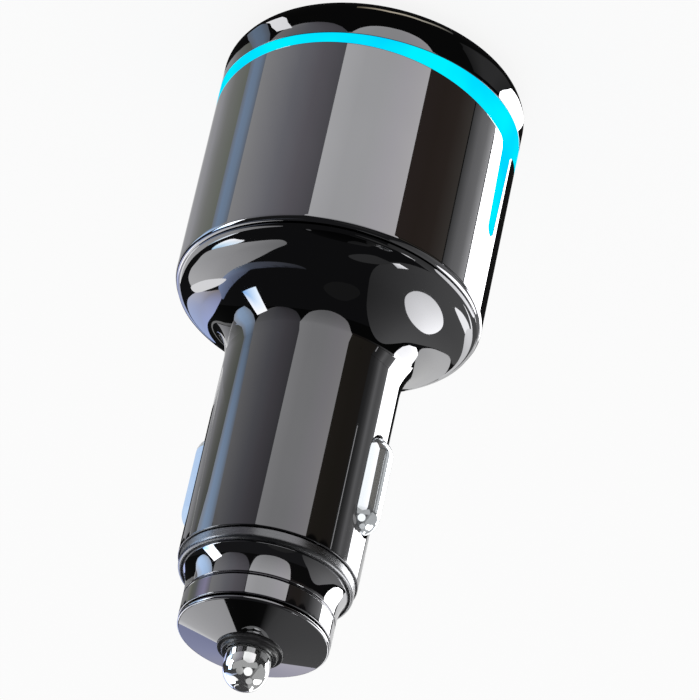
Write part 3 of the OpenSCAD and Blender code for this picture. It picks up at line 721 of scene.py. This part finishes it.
# Circuit boards
# Two boards of glass-cloth laminate under green solder resist, soldered at a right angle. The weave
# of the cloth shows faintly through the resist.
STRANDS_PER_MM = 0.55
laminate, tree, shader = material("board_laminate")
weave = []
for direction in ("X", "Y", "Z"):
    place = tree.nodes.new("ShaderNodeTexCoord")
    strand = tree.nodes.new("ShaderNodeTexWave")
    strand.bands_direction = direction
    strand.inputs["Scale"].default_value = STRANDS_PER_MM / MM
    tree.links.new(place.outputs["Object"], strand.inputs["Vector"])
    weave.append(strand.outputs["Fac"])
cloth = worked(tree, "MULTIPLY", worked(tree, "MAXIMUM", weave[0], weave[1]), weave[2])
under = blended(tree, spread(tree, cloth, 0.1, 0.9), (0.006, 0.075, 0.03), (0.01, 0.1, 0.04))
resist = noise(tree, 0.3, 3)
tone = blended(tree, spread(tree, resist, 0.4, 0.7), under, (0.008, 0.11, 0.045))
tree.links.new(tone, shader.inputs["Base Color"])
tree.links.new(spread(tree, resist, 0.3, 0.7, 0.25, 0.4), shader.inputs["Roughness"])
relief(tree, shader, cloth, strength=0.3, depth=0.01)
for board in ("port_board", "main_board"):
    dressed(board, laminate)

# Ring diodes
# Small surface-mounted diodes round the port board shine up into the light ring through clear
# resin lenses.
led_lens, tree, shader = material("led_lens")
shader.inputs["Emission Strength"].default_value = 1
core = noise(tree, 1.2, 1)
heart = spread(tree, core, 0.35, 0.65)
tree.links.new(blended(tree, heart, (0.05, 0.6, 0.75), (0.3, 0.85, 0.95)), shader.inputs["Emission Color"])
tree.links.new(blended(tree, heart, (0.5, 0.7, 0.72), (0.7, 0.85, 0.86)), shader.inputs["Base Color"])
tree.links.new(spread(tree, core, 0.3, 0.7, 0.15, 0.3), shader.inputs["Roughness"])
dressed("ring_leds", led_lens)

# Board components
# A shielded inductor of pressed ferrite, aluminium-can capacitors, epoxy chips and transistors,
# and a ceramic fuse, all soldered to the main board.
ferrite = moulded("ferrite", (0.035, 0.034, 0.033), (0.06, 0.058, 0.055),
                  grain=9, smooth=0.6, rough=0.8, depth=0.02)
dressed("power_inductor", ferrite)
capacitor_can = drawn_metal("capacitor_can", (0.7, 0.7, 0.71), (0.6, 0.6, 0.61), bright=0.25, dull=0.42)
for can in ("output_capacitors", "input_capacitor"):
    dressed(can, capacitor_can)
chip_epoxy = moulded("chip_epoxy", (0.012, 0.012, 0.013), (0.022, 0.021, 0.021),
                     grain=12, smooth=0.5, rough=0.7, depth=0.008)
for chip in ("controller_chip", "power_transistors"):
    dressed(chip, chip_epoxy)
fuse_ceramic = moulded("fuse_ceramic", (0.62, 0.6, 0.55), (0.7, 0.68, 0.63),
                       grain=10, smooth=0.45, rough=0.6, depth=0.006)
dressed("board_fuse", fuse_ceramic)

# Carrier and terminals
# A glass-filled nylon carrier holds the board, the springs and their seats. The pin's cup and the
# side terminals that seat the springs are pressed from brass.
carrier_plastic = moulded("carrier_plastic", (0.05, 0.05, 0.052), (0.075, 0.075, 0.078),
                          grain=5, smooth=0.5, rough=0.68, depth=0.015)
dressed("board_carrier", carrier_plastic)
brass = drawn_metal("brass", (0.72, 0.52, 0.24), (0.58, 0.39, 0.17), bright=0.2, dull=0.38)
for seat in ("spring_cup", "ground_terminals"):
    dressed(seat, brass)

# Springs
# Compression springs coiled from drawn steel wire, with closed end turns. One stands in the cup
# behind the pin and one behind each side contact, and each shortens as its contact is pushed in.
PIN_WIRE = 0.5
PIN_TURNS = 5
SIDE_WIRE = 0.4
SIDE_TURNS = 4
CLOSED_TURNS = 0.7
COIL_STEPS = 40
WIRE_SIDES = 12
spring_steel = drawn_metal("spring_steel", (0.5, 0.5, 0.5), (0.4, 0.39, 0.38), bright=0.2, dull=0.36)


def sprung(node, seat, along, length, wire, turns):
    """A spring in its CAD node's place: from its seat along an axis, over the given length."""
    low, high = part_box(node)
    side = Vector((0, 1, 0))
    across = along.cross(side)
    radius = (high.y - low.y) / MM / 2 - wire / 2
    round_wire = [math.tau * k / WIRE_SIDES for k in range(WIRE_SIDES)]
    rings = []
    for i in range(turns * COIL_STEPS + 1):
        wound = i / COIL_STEPS
        out = math.cos(math.tau * wound) * across + math.sin(math.tau * wound) * side
        climb = min(max((wound - CLOSED_TURNS) / (turns - 2 * CLOSED_TURNS), 0), 1)
        middle = seat + radius * out + (wire / 2 + (length - wire) * climb) * along
        rings.append([middle + wire / 2 * (math.cos(t) * out + math.sin(t) * along) for t in round_wire])
    spring = skin(node + "_wire", rings)
    finish(spring, spring_steel, "housing", "spring_steel", node)
    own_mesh(spring)


low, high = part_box("pin_spring")
sprung("pin_spring", Vector((0, 0, low.z / MM)), Vector((0, 0, 1)), (high.z - low.z) / MM,
       PIN_WIRE, PIN_TURNS)
low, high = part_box("side_spring_right")
for side, name in ((-1, "left"), (1, "right")):
    sprung("side_spring_" + name, Vector((side * low.x / MM, 0, CONTACT_MID)),
           Vector((side, 0, 0)), (high.x - low.x) / MM, SIDE_WIRE, SIDE_TURNS)

# The set
# A pale floor under even white light. Round it stand a dark tent, black and grey flags and soft
# panels, which only polished surfaces see, as when a photographer lights chrome.
CAMERA_AT = Vector((-0.23062, -0.51797, 0.38737))
CAMERA_ANGLES = (-57.751, 10.620, 163.002)
SENSOR = 36
LENS = 8.15 * SENSOR
FLOOR_REACH = 3
FLOOR_GLOW = 0.88
camera = bpy.data.objects.new("camera", bpy.data.cameras.new("camera"))
camera.data.sensor_width = SENSOR
camera.data.lens = LENS
camera.data.clip_start = 0.05
camera.location = CAMERA_AT
camera.rotation_euler = [math.radians(a) for a in CAMERA_ANGLES]
bpy.context.scene.collection.objects.link(camera)
bpy.context.scene.camera = camera

corners = [(FLOOR_REACH * x, FLOOR_REACH * y, 0) for x, y in ((1, 1), (-1, 1), (-1, -1), (1, -1))]
floor_mesh = bpy.data.meshes.new("floor")
floor_mesh.from_pydata(corners, [], [(0, 1, 2, 3)])
floor = bpy.data.objects.new("floor", floor_mesh)
bpy.context.scene.collection.objects.link(floor)
pale, tree, shader = material("pale_floor")
shader.inputs["Base Color"].default_value = (0.85, 0.85, 0.85, 1)
shader.inputs["Roughness"].default_value = 0.9
path = tree.nodes.new("ShaderNodeLightPath")
seen = worked(tree, "MAXIMUM", path.outputs["Is Camera Ray"], path.outputs["Is Glossy Ray"])
seen = worked(tree, "MAXIMUM", seen, path.outputs["Is Transmission Ray"])
white = tree.nodes.new("ShaderNodeEmission")
white.inputs["Strength"].default_value = 1
mix = tree.nodes.new("ShaderNodeMixShader")
tree.links.new(worked(tree, "MULTIPLY", seen, FLOOR_GLOW), mix.inputs["Fac"])
tree.links.new(shader.outputs["BSDF"], mix.inputs[1])
tree.links.new(white.outputs["Emission"], mix.inputs[2])
tree.links.new(mix.outputs["Shader"], tree.nodes["Material Output"].inputs["Surface"])
floor.data.materials.append(pale)

# Reflection cards
# Polished parts look like what stands round them, so a photographer lays black flags and grey and
# white cards about the plug. Each is set where the camera's sightline lands after the plating.
DOME_R = 900  # cards hang on a dome this far out, 25 mm closer for each layer
DOME_Z = 40
LAYER_GAP = 25
FLOOR_GAP = 0.2  # and lie this far above the floor, a little higher for each layer
FLOOR_LAYER = 0.02
HEAD_SHINE = 0.275
BARREL_SHINE = 0.135
PIN_SHINE = 0.84
PANEL_RINGS = 6
TENT_R = 1600
TENT_SIDES = 96
TENT_RINGS = 15
FLAG_IN_R = 13
FLAG_OUT_R = 1700
FLARE_TOP = 17.3  # lean where the long cards end
HEAD_ROWS = (7, 12, 20, 27, 33)
NECK_ROWS = (43.3, 50, 60, 69.6)
NOSE_ROWS = (71.2, 74, 77.5)
card_paint, tree, shader = material("reflection_card")
tree.nodes.remove(shader)
painted = tree.nodes.new("ShaderNodeAttribute")
painted.attribute_name = "tone"
glow = tree.nodes.new("ShaderNodeEmission")
tree.links.new(painted.outputs["Color"], glow.inputs["Color"])
tree.links.new(glow.outputs["Emission"], tree.nodes["Material Output"].inputs["Surface"])


def hung(name, verts, faces, tones):
    """A card that only polished surfaces see: points in mm, a painted tone for each."""
    mesh = bpy.data.meshes.new(name)
    mesh.from_pydata([[k * MM for k in v] for v in verts], [], faces)
    paint = mesh.color_attributes.new("tone", "FLOAT_COLOR", "POINT")
    for i, tone in enumerate(tones):
        paint.data[i].color = (*tone, 1)
    mesh.materials.append(card_paint)
    card = bpy.data.objects.new(name, mesh)
    bpy.context.scene.collection.objects.link(card)
    card.visible_camera = False
    card.visible_diffuse = False
    card.visible_shadow = False
    card.visible_transmission = False


def wall_at(height):
    """Radius, height and lean of the upright walls: head, neck or nose."""
    radius = HEAD_R if height < SEAM else NECK_R if height < BARREL_END else NOSE_R
    return radius, height, 0


def flare_at(lean):
    """Radius, height and lean of the flare where its face leans back by so many degrees."""
    t = math.radians(lean)
    return NECK_R + FLARE_R * (1 - math.cos(t)), NECK_START - FLARE_R * math.sin(t), lean


def cone_at(radius):
    """Radius, height and lean of the end cap's cone."""
    (r0, z0), (r1, z1) = cap_outline[-3], cap_outline[-2]
    lean = math.degrees(math.atan2(r0 - r1, z1 - z0))
    return radius, z0 + (z1 - z0) * (r0 - radius) / (r0 - r1), lean


def ball_at(lean):
    """Radius, height and lean of the pin's ball end."""
    t = math.radians(lean)
    return PIN_R * math.cos(t), PIN_TIP - PIN_R + PIN_R * math.sin(t), lean


def bar_end_at(lean, side=-1):
    """Radius, height and lean of a contact's domed end, and where its middle is along X."""
    t = math.radians(lean)
    return bar_r * math.cos(t), CONTACT_MID + bar_half + bar_r * math.sin(t), lean, side * CONTACT_AXIS


def rim_at(lean):
    """Radius, height and lean of the rim cap's rounded edge, where its face leans outwards."""
    t = math.atan2(RIM_TALL * math.sin(math.radians(lean)), RIM_WIDE * math.cos(math.radians(lean)))
    return HEAD_R + RIM_WIDE * (math.cos(t) - 1), RIM_TALL * (1 + math.sin(t)), lean


def mirrored(turn, spot, shine, layer, near=None):
    """Where the camera's sightline lands after a spot on the plug, and how much the spot reflects."""
    radius, height, lean, across = (*spot, 0)[:4]
    camera_turn = math.atan2(CAMERA_AT.y, CAMERA_AT.x)
    t, e = camera_turn - math.radians(turn), math.radians(lean)
    face = Vector((math.cos(t) * math.cos(e), math.sin(t) * math.cos(e), math.sin(e)))
    start = Vector((across + radius * math.cos(t), radius * math.sin(t), height))
    back = (CAMERA_AT / MM - start).normalized()
    ray = 2 * face.dot(back) * face - back
    middle = start - Vector((0, 0, DOME_Z))
    reach = DOME_R - LAYER_GAP * layer
    along = middle.dot(ray)
    far = -along + math.sqrt(along * along + reach * reach - middle.dot(middle))
    if ray.z < 0:
        far = min(far, (height - FLOOR_GAP - FLOOR_LAYER * layer) / -ray.z)
    if near:
        far = near
    slant = (1 - max(face.dot(back), 0)) ** 5
    return start + far * ray, shine + (1 - shine) * slant


def painted_as(seen, strength):
    """The tone a card needs to be seen as this grey or colour (0 to 255) in the plating."""
    seen = (seen, seen, seen) if isinstance(seen, (int, float)) else seen
    return [(k / 255) ** 2.2 / strength for k in seen]


def faded(lean):
    """How much of a long card's tone is left where the face leans back by so many degrees."""
    if lean >= 30:
        return 1
    return 1 - 0.4 * min(max(lean - 6, 0) / 10, 1) ** 0.7


def stripe(name, layer, rows, seen, shine=HEAD_SHINE, near=None):
    """A long card: rows of (spot, left turn, right turn, gain), tones from left to right."""
    verts, faces, tones = [], [], []
    wide = len(seen) - 1
    for spot, left, right, *gain in rows:
        fade = faded(spot[2])
        gain = gain[0] if gain else 1
        for i, tone in enumerate(seen):
            place, strength = mirrored(left + (right - left) * i / wide, spot, shine, layer, near)
            verts.append(place)
            tones.append([k * fade * gain for k in painted_as(tone, strength)])
    for k in range(len(rows) - 1):
        for i in range(wide):
            a = k * (wide + 1) + i
            faces.append((a, a + 1, a + wide + 2, a + wide + 1))
    hung(name, verts, faces, tones)


def tone_of(seen, i, count):
    """The colour of a border's point: one tone for all, or a list carried round the border."""
    if isinstance(seen, list):
        seen = seen[i * len(seen) // count]
    return (seen, seen, seen) if isinstance(seen, (int, float)) else seen


def band(start, count):
    """The faces between a ring of so many points and the ring that follows it."""
    return [(start + i, start + (i + 1) % count, start + count + (i + 1) % count, start + count + i)
            for i in range(count)]


def panel(name, layer, border, seen, rounds=2, surface=flare_at, shine=BARREL_SHINE, near=None):
    """A soft panel: a border of (turn, lean) on the flare, each with the tone seen there."""
    points = [(turn, level, *tone_of(seen, i, len(border))) for i, (turn, level) in enumerate(border)]
    for _ in range(rounds):
        cut_corners = []
        for i, here in enumerate(points):
            on = points[(i + 1) % len(points)]
            cut_corners.append([0.75 * a + 0.25 * b for a, b in zip(here, on)])
            cut_corners.append([0.25 * a + 0.75 * b for a, b in zip(here, on)])
        points = cut_corners
    count = len(points)
    middle = [sum(p[k] for p in points) / count for k in range(5)]
    verts, faces, tones = [], [], []
    for k in range(PANEL_RINGS):
        for point in points:
            turn, level, *tone = [a + (b - a) * k / PANEL_RINGS for a, b in zip(point, middle)]
            place, strength = mirrored(turn, surface(level), shine, layer, near)
            verts.append(place)
            tones.append(painted_as(tone, strength))
    for k in range(PANEL_RINGS - 1):
        faces += band(k * count, count)
    faces.append(tuple(range((PANEL_RINGS - 1) * count, PANEL_RINGS * count)))
    hung(name, verts, faces, tones)


def upright(left, right, heights):
    """A stripe's rows up a wall, all between the same two turns."""
    return [(wall_at(height), left, right) for height in heights]


def rows_on(face, *rows):
    """A stripe's rows on one kind of face: (height or lean, left turn, right turn, gain) each."""
    return [(face(level), *rest) for level, *rest in rows]


def rounded_ends(left, right, top=FLARE_TOP):
    """A stripe's rows from the rim to the flare, drawn in to an oval at both ends."""
    middle, half = (left + right) / 2, (right - left) / 2
    rows = []
    for height, width in ((4.9, 0.1), (5.0, 0.35), (5.25, 0.6), (5.7, 0.8), (6.3, 0.94), (7, 1)):
        rows.append((wall_at(height), middle - half * width, middle + half * width))
    rows += upright(left, right, HEAD_ROWS[1:] + NECK_ROWS)
    for lean, width in ((8.5, 0.97), (10.6, 0.9), (12.5, 0.82), (13.9, 0.74), (15.2, 0.6), (16.3, 0.42),
                        (17, 0.22), (17.3, 0.05)):
        spot = flare_at(lean * (top / FLARE_TOP))
        rows.append((spot, middle - half * width, middle + half * width))
    return rows


spin = [math.tau * i / TENT_SIDES for i in range(TENT_SIDES)]
flag = [(FLAG_IN_R * math.cos(t), FLAG_IN_R * math.sin(t), 0.05) for t in spin]
flag += [(FLAG_OUT_R * math.cos(t), FLAG_OUT_R * math.sin(t), 0.1) for t in spin]
hung("floor_flag", flag, band(0, TENT_SIDES), [(0.012, 0.012, 0.012)] * len(flag))
tent = [(0, 0, TENT_R)]
tent_faces = [(0, 1 + i, 1 + (i + 1) % TENT_SIDES) for i in range(TENT_SIDES)]
for k in range(1, TENT_RINGS + 1):
    e = math.radians(90 - 90 * k / TENT_RINGS)
    reach = TENT_R * math.cos(e)
    tent += [(reach * math.cos(t), reach * math.sin(t), TENT_R * math.sin(e)) for t in spin]
for k in range(TENT_RINGS - 1):
    tent_faces += band(1 + TENT_SIDES * k, TENT_SIDES)
hung("dark_tent", tent, tent_faces, [(0.03, 0.03, 0.032)] * len(tent))

stripe("grey_card", 1, rounded_ends(-47.8, -14.3),
       [(125, 125, 125), (113, 113, 115), (97, 97, 101), (85, 83, 87), (73, 72, 75)])
stripe("light_grey_card", 1, rounded_ends(-14.3, 18.2, 17.4),
       [158, 150, 150, (155, 153, 155), (162, 160, 160)])
blues = [(105, 110, 118), (106, 123, 144), (103, 119, 138), (92, 98, 107)]
stripe("blue_card", 2,
       rows_on(rim_at, (-13, -57.5, -55), (-6, -64, -52))
       + rows_on(wall_at, (4.4, -62, -50), (5.3, -59.5, -48.5))
       + upright(-56, -47.7, HEAD_ROWS)
       + rows_on(wall_at, (43.3, -55.5, -47.5, 1.3), (50, -55.5, -47.5, 1.5), (60, -55.5, -47.5, 1.9),
                 (69.6, -55.5, -47.5, 2.4), (72, -61, -48, 2.2), (74.5, -61, -48, 2), (75.5, -59, -48, 1.1),
                 (77.5, -59, -48, 1.1)),
       blues)
stripe("blue_flare_card", 5,
       rows_on(flare_at, (1, -55.8, -47.7, 1.4), (5, -57.4, -47.6, 1.8), (10, -60, -47.2, 3),
               (15, -66, -49, 4.4), (19, -69, -51.5, 5), (22, -67.6, -54.5, 5), (23.7, -64, -56.5, 4.4)),
       blues)
stripe("nose_lilac_card", 0, upright(-68, -43, (75.1, 77.9)),
       [(112, 114, 106), (90, 92, 86), (88, 90, 90), (112, 110, 128), (124, 120, 142), (100, 99, 104)],
       near=1)
stripe("neck_edge_card", 4, upright(-90, -79.5, (50.5, 53, 57, 61, 65, 69.6)), [24, 24, 26], BARREL_SHINE)
stripe("olive_card", 1,
       upright(-88, -60, (5,)) + upright(-90, -56, HEAD_ROWS) + upright(-90, -55, NECK_ROWS)
       + rows_on(flare_at, (5.7, -84, -57.6), (12, -79, -61), (15.3, -75, -62.5), (18, -71, -66),
                 (18.8, -69, -67.5)),
       [(250, 250, 250), (150, 150, 152), (138, 138, 141), (110, 111, 108), (98, 101, 93)])
stripe("warm_black_card", 1, upright(18.2, 39.7, HEAD_ROWS),
       [(42, 37, 35), (41, 36, 33), (44, 39, 36), (56, 53, 50)])
stripe("neck_black_card", 1, upright(18.2, 36, NECK_ROWS), [(34, 32, 29), (32, 30, 27), (32, 30, 28)],
       BARREL_SHINE)
stripe("nose_black_card", 1, upright(18.2, 36.2, NOSE_ROWS), [(38, 35, 34), (38, 35, 33), 48])
stripe("nose_side_card", 3, upright(36.2, 51.5, NOSE_ROWS), [50, 78, 96, 122])
stripe("nose_white_card", 4,
       rows_on(wall_at, (71.2, 51.2, 70.5), (74.7, 51.2, 70.5), (75.1, 50.8, 69.5), (77.5, 50.8, 69.5)),
       [420, 420, 420, 420])
stripe("side_grey_card", 1, upright(40.2, 53.4, HEAD_ROWS), [60, 92, 103, 148])
stripe("neck_side_card", 3, upright(36, 53.8, NECK_ROWS), [34, 40, 56, 86, 74, 80, 100], BARREL_SHINE)
stripe("neck_line_card", 4, upright(36.9, 37.5, (52.9, 53.4, 57, 61, 65, 69.6)), [130, 130], BARREL_SHINE)
stripe("olive_far_card", 0, upright(-90, -61, (71, 74, 77.5)), [150, 134, 118, 108, 100])
stripe("rim_window_card", 4,
       rows_on(rim_at, (-10, -52.9, -44.3), (-3, -50.5, -42.5))
       + rows_on(wall_at, (4.3, -48.6, -40.8), (5.3, -45.2, -38.1)),
       [255, 255, 255])
stripe("rim_grey_card", 2,
       rows_on(rim_at, (-12, 40, 52), (-5, 27, 58))
       + rows_on(wall_at, (4, 29, 57), (5, 33, 53), (6, 36, 51)),
       [36, 52, 54, 46])
stripe("rim_arc_card", 4, rows_on(rim_at, (-26, -14, 24), (-20, -14, 24)),
       [(90, 84, 70), (190, 180, 160), (170, 165, 150), (60, 60, 60)])
stripe("white_card", 2,
       rows_on(rim_at, (-6, 66, 80), (-2, 59, 80))
       + rows_on(wall_at, (4.3, 56, 79), (4.9, 53.5, 77.5), (5.6, 51.5, 75.5), (6.3, 51.5, 73.5),
                 (7, 52.6, 73.2))
       + upright(54, 72.5, HEAD_ROWS[1:])
       + upright(53.8, 75.3, NECK_ROWS[:3]) + upright(53.8, 73.4, NECK_ROWS[3:])
       + rows_on(flare_at, (5, 53, 73), (6.5, 53.2, 71.5), (9, 53.4, 72), (15.5, 55.6, 78), (21, 58.5, 79.2),
                 (26, 63, 79.4), (30, 70, 77.5)),
       [420, 420, 420, 420])

panel("window_panel", 2,
      [(-55.7, 33.4), (-45.5, 33.6), (-38.1, 15.5), (-45.6, 13.9)],
      [(120, 170, 225), (225, 240, 252), (255, 255, 255), (255, 255, 255)], 0)
panel("egg_panel", 2,
      [(39.2, 44.5), (38.2, 50), (41, 55.4), (48, 58.4), (56.2, 58.2), (64.2, 56.3), (71, 53),
       (71.9, 46.5), (67.2, 40), (56.7, 36.7), (46.5, 38)],
      [190, 188, 190, 198, 212, 230, 250, 255, 250, 222, 200])
panel("sliver_panel_low", 2,
      [(60, 66.1), (65.3, 68.8), (71.2, 70), (77.7, 70.9), (83.4, 70.9), (83.9, 68.2), (76.8, 66.3),
       (68.4, 65.2)], 235)
panel("side_field_panel", 1,
      [(16, 52), (19, 38), (23, 25), (32, 13), (41, 11), (50, 17), (60, 26), (69, 32), (79, 40),
       (90, 51), (99, 60.5), (108, 68), (104, 72.5), (88, 75), (70, 75), (55, 74.5), (42, 73), (30, 69),
       (20, 62)],
      [44, 40, 44, 58, 70, 74, 76, 76, 76, 74, 74, 74, 74, 72, 72, 70, 66, 56, 48])
panel("corner_panel", 2,
      [(73, 31), (79.7, 40), (90.6, 51), (99, 61.2), (108, 66.1), (117, 70.5), (126, 71.5), (140, 72),
       (138, 58), (125, 40), (105, 28), (85, 24)],
      [150, 160, 166, 170, 172, 176, 180, 185, 188, 180, 172, 160])
panel("edge_panel", 3,
      [(77, 69), (82, 67), (89, 67), (98, 68.3), (108, 69.6), (118, 69.8), (124, 72.5), (110, 76),
       (95, 76.5), (84, 76), (79, 73)],
      [215, 200, 190, 186, 184, 184, 182, 180, 184, 190, 205])
panel("high_patch_panel", 2,
      [(2.9, 56), (6.7, 59.5), (14, 63), (19, 62.8), (23.4, 62.8), (19, 58), (9.7, 54.6)], 44)
panel("glint_panel", 3, [(23, 62.8), (25.5, 64.7), (30.4, 64.4), (26.2, 61.2)], [200, 235, 225, 170], 0)
panel("front_oval_panel", 2,
      [(-5.7, 31.8), (-1.4, 36.7), (5.2, 38.3), (12, 38.3), (16.5, 35.1), (14.3, 30.2), (8.3, 25.8),
       (0.3, 26.9)], 27)
panel("swoosh_panel", 1,
      [(-72.4, 68.5), (-66, 69.4), (-60.8, 68.6), (-54.6, 67), (-49.2, 65.6), (-40.9, 64), (-34.2, 63.4),
       (-28.3, 63.2), (-24.5, 62.5), (-23, 59.5), (-27.3, 57.5), (-31.6, 55.4), (-36.1, 53),
       (-41.5, 51.2), (-48.6, 49.6), (-56.5, 48.6), (-65.3, 47.6), (-73.5, 50), (-81.5, 55), (-92, 62),
       (-88, 67.7), (-80, 69)],
      [150, 146, 142, 138, 132, 126, 118, 110, 102, 96, 100, 108, 114, 120, 126, 132, 138, 148, 160, 168,
       164, 155])
panel("patch_panel", 2,
      [(-61.3, 68.5), (-57.5, 69.6), (-52, 70), (-47.1, 69.6), (-44.8, 67.5), (-41.6, 65.6), (-47.1, 65),
       (-53, 66.1), (-57.3, 67.5)],
      [(150, 190, 215), (205, 230, 240), 250, 250, 235, 225, (215, 232, 245), (190, 215, 235),
       (160, 195, 225)])
panel("left_oval_panel", 2,
      [(-90.7, 65), (-86.6, 62), (-79.7, 57.4), (-73, 52.6), (-65.6, 48), (-63.3, 46), (-69.5, 45.8),
       (-77.6, 48.6), (-86.7, 54), (-93.1, 60), (-93, 64)], 208)
panel("left_low_panel", 1,
      [(-97, 64), (-90, 58), (-83, 50.2), (-75.3, 45.4), (-70, 42), (-75.7, 38.3), (-84.4, 38),
       (-94, 40), (-105, 46.5), (-118, 58), (-128, 66), (-138, 71), (-116, 71.5), (-104, 69)],
      [(168, 170, 182), (160, 161, 173), (142, 140, 146), (126, 119, 117), (116, 112, 118),
       (128, 132, 162), (140, 147, 184), (146, 156, 195), (150, 160, 200), (150, 162, 205),
       (150, 165, 208), (152, 168, 210), (152, 166, 202), (160, 168, 192)])
panel("left_arc_panel", 1,
      [(-74.5, 45.5), (-68, 48.5), (-58.3, 49.6), (-50, 50.4), (-42.6, 49.6), (-33.1, 48), (-24.1, 46.2),
       (-17.3, 44.4), (-13.6, 42), (-20, 43.4), (-28, 44.8), (-36, 45.6), (-44, 46), (-52, 45.4),
       (-60, 43.6), (-68, 40), (-76, 36)],
      [(110, 122, 150), (120, 132, 158), (98, 112, 134), (72, 80, 92), (64, 68, 76), (58, 60, 66),
       (52, 53, 57), (44, 45, 48), (36, 36, 39), (28, 28, 30), (36, 36, 38), (44, 44, 47), (50, 51, 55),
       (54, 57, 63), (60, 65, 75), (76, 84, 104), (92, 102, 128)])


def end_panel(name, near, border, seen):
    """Small cards close to the pin and to a side contact, seen in their round ends alone."""
    panel("pin_" + name, 0, border, seen, 2, ball_at, PIN_SHINE, near)
    panel("contact_" + name, 0, border, seen, 2, bar_end_at, PIN_SHINE, near)


end_panel("disc_card", 0.4,
          [(4.3, 22), (14.5, 23), (20.5, 29.7), (21, 38), (12, 44.2), (0, 43), (-6.2, 35.6),
           (-4.2, 27)], 255)
end_panel("grey_card", 0.4,
          [(-17.8, 23.3), (-8.4, 26.6), (-4.6, 32.3), (-7.4, 41.4), (-16.5, 44.4), (-26, 42.2),
           (-29.6, 33.7), (-25.6, 26.3)],
          [150, 165, 175, 160, 140, 130, 140, 150])
end_panel("low_card", 0.4,
          [(18.1, 46.8), (29, 46.6), (38, 51), (43, 59.4), (30, 64.6), (13, 62), (8.5, 53.7)], 180)
end_panel("band_card", 0.55,
          [(-39, 15.7), (-25.8, 12), (-16.1, 7), (-10.6, 6.4), (2, 13.2), (14.2, 10.7), (22, 2.5),
           (29, 12), (27.5, 19), (13.7, 22.3), (4.3, 23.8), (-17.3, 24.8), (-33, 30.8), (-41.5, 29)], 150)
end_panel("side_card", 0.55,
          [(33, 13.8), (52.7, 3.2), (66.4, 16.5), (70.5, 29.8), (49, 41.5), (32, 46), (25, 45.3),
           (28, 30.7)], 152)

sky = [(190, 212, 238), (182, 205, 235), (176, 200, 232), (172, 196, 230), (178, 198, 228)]
bar_spots = [(bar_r, height, 0, CONTACT_AXIS) for height in (53.6, 56, 59, 62.1)]
stripe("contact_sky_card", 0, [(spot, -112, -20) for spot in bar_spots], sky, PIN_SHINE, 0.5)
panel("contact_sky_end_card", 0,
      [(-112, 0), (-60, -1), (-20, 0), (-20, 60), (-60, 84), (-112, 60)], (182, 205, 235), 1,
      lambda lean: bar_end_at(lean, 1), PIN_SHINE, 0.5)


def cone_stripe(name, left, right, seen):
    """A strip of card that the end cap's cone mirrors between two turns."""
    radius, height, lean = cone_at(6)
    stripe(name, 4, [((radius, height, lean + k), left, right) for k in (-1.3, 1.3)], seen)


cone_stripe("cone_light_card", -92, -29, [200, 166, 160, 156, 153, 150, 148, 146, 143, 140])
cone_stripe("cone_black_card", -29, 5, [18, 16, 15, 15, 16, 18])
cone_stripe("cone_dark_card", 5, 114, [20, 57, 62, 64, 65, 66, 67, 68, 69, 70, 72])
cone_stripe("cone_lilac_card", 114, 268,
            [(164, 162, 172), (158, 156, 168), (150, 149, 162), (146, 146, 160), (142, 143, 160),
             (138, 140, 160), (134, 137, 160), (128, 132, 158), (124, 128, 154), (120, 124, 150)])

world = bpy.data.worlds.new("even_light")
bpy.context.scene.world = world
world.use_nodes = True
world.node_tree.nodes["Background"].inputs["Color"].default_value = (1, 1, 1, 1)
world.node_tree.nodes["Background"].inputs["Strength"].default_value = 0.85

bpy.context.scene.view_settings.view_transform = "Standard"
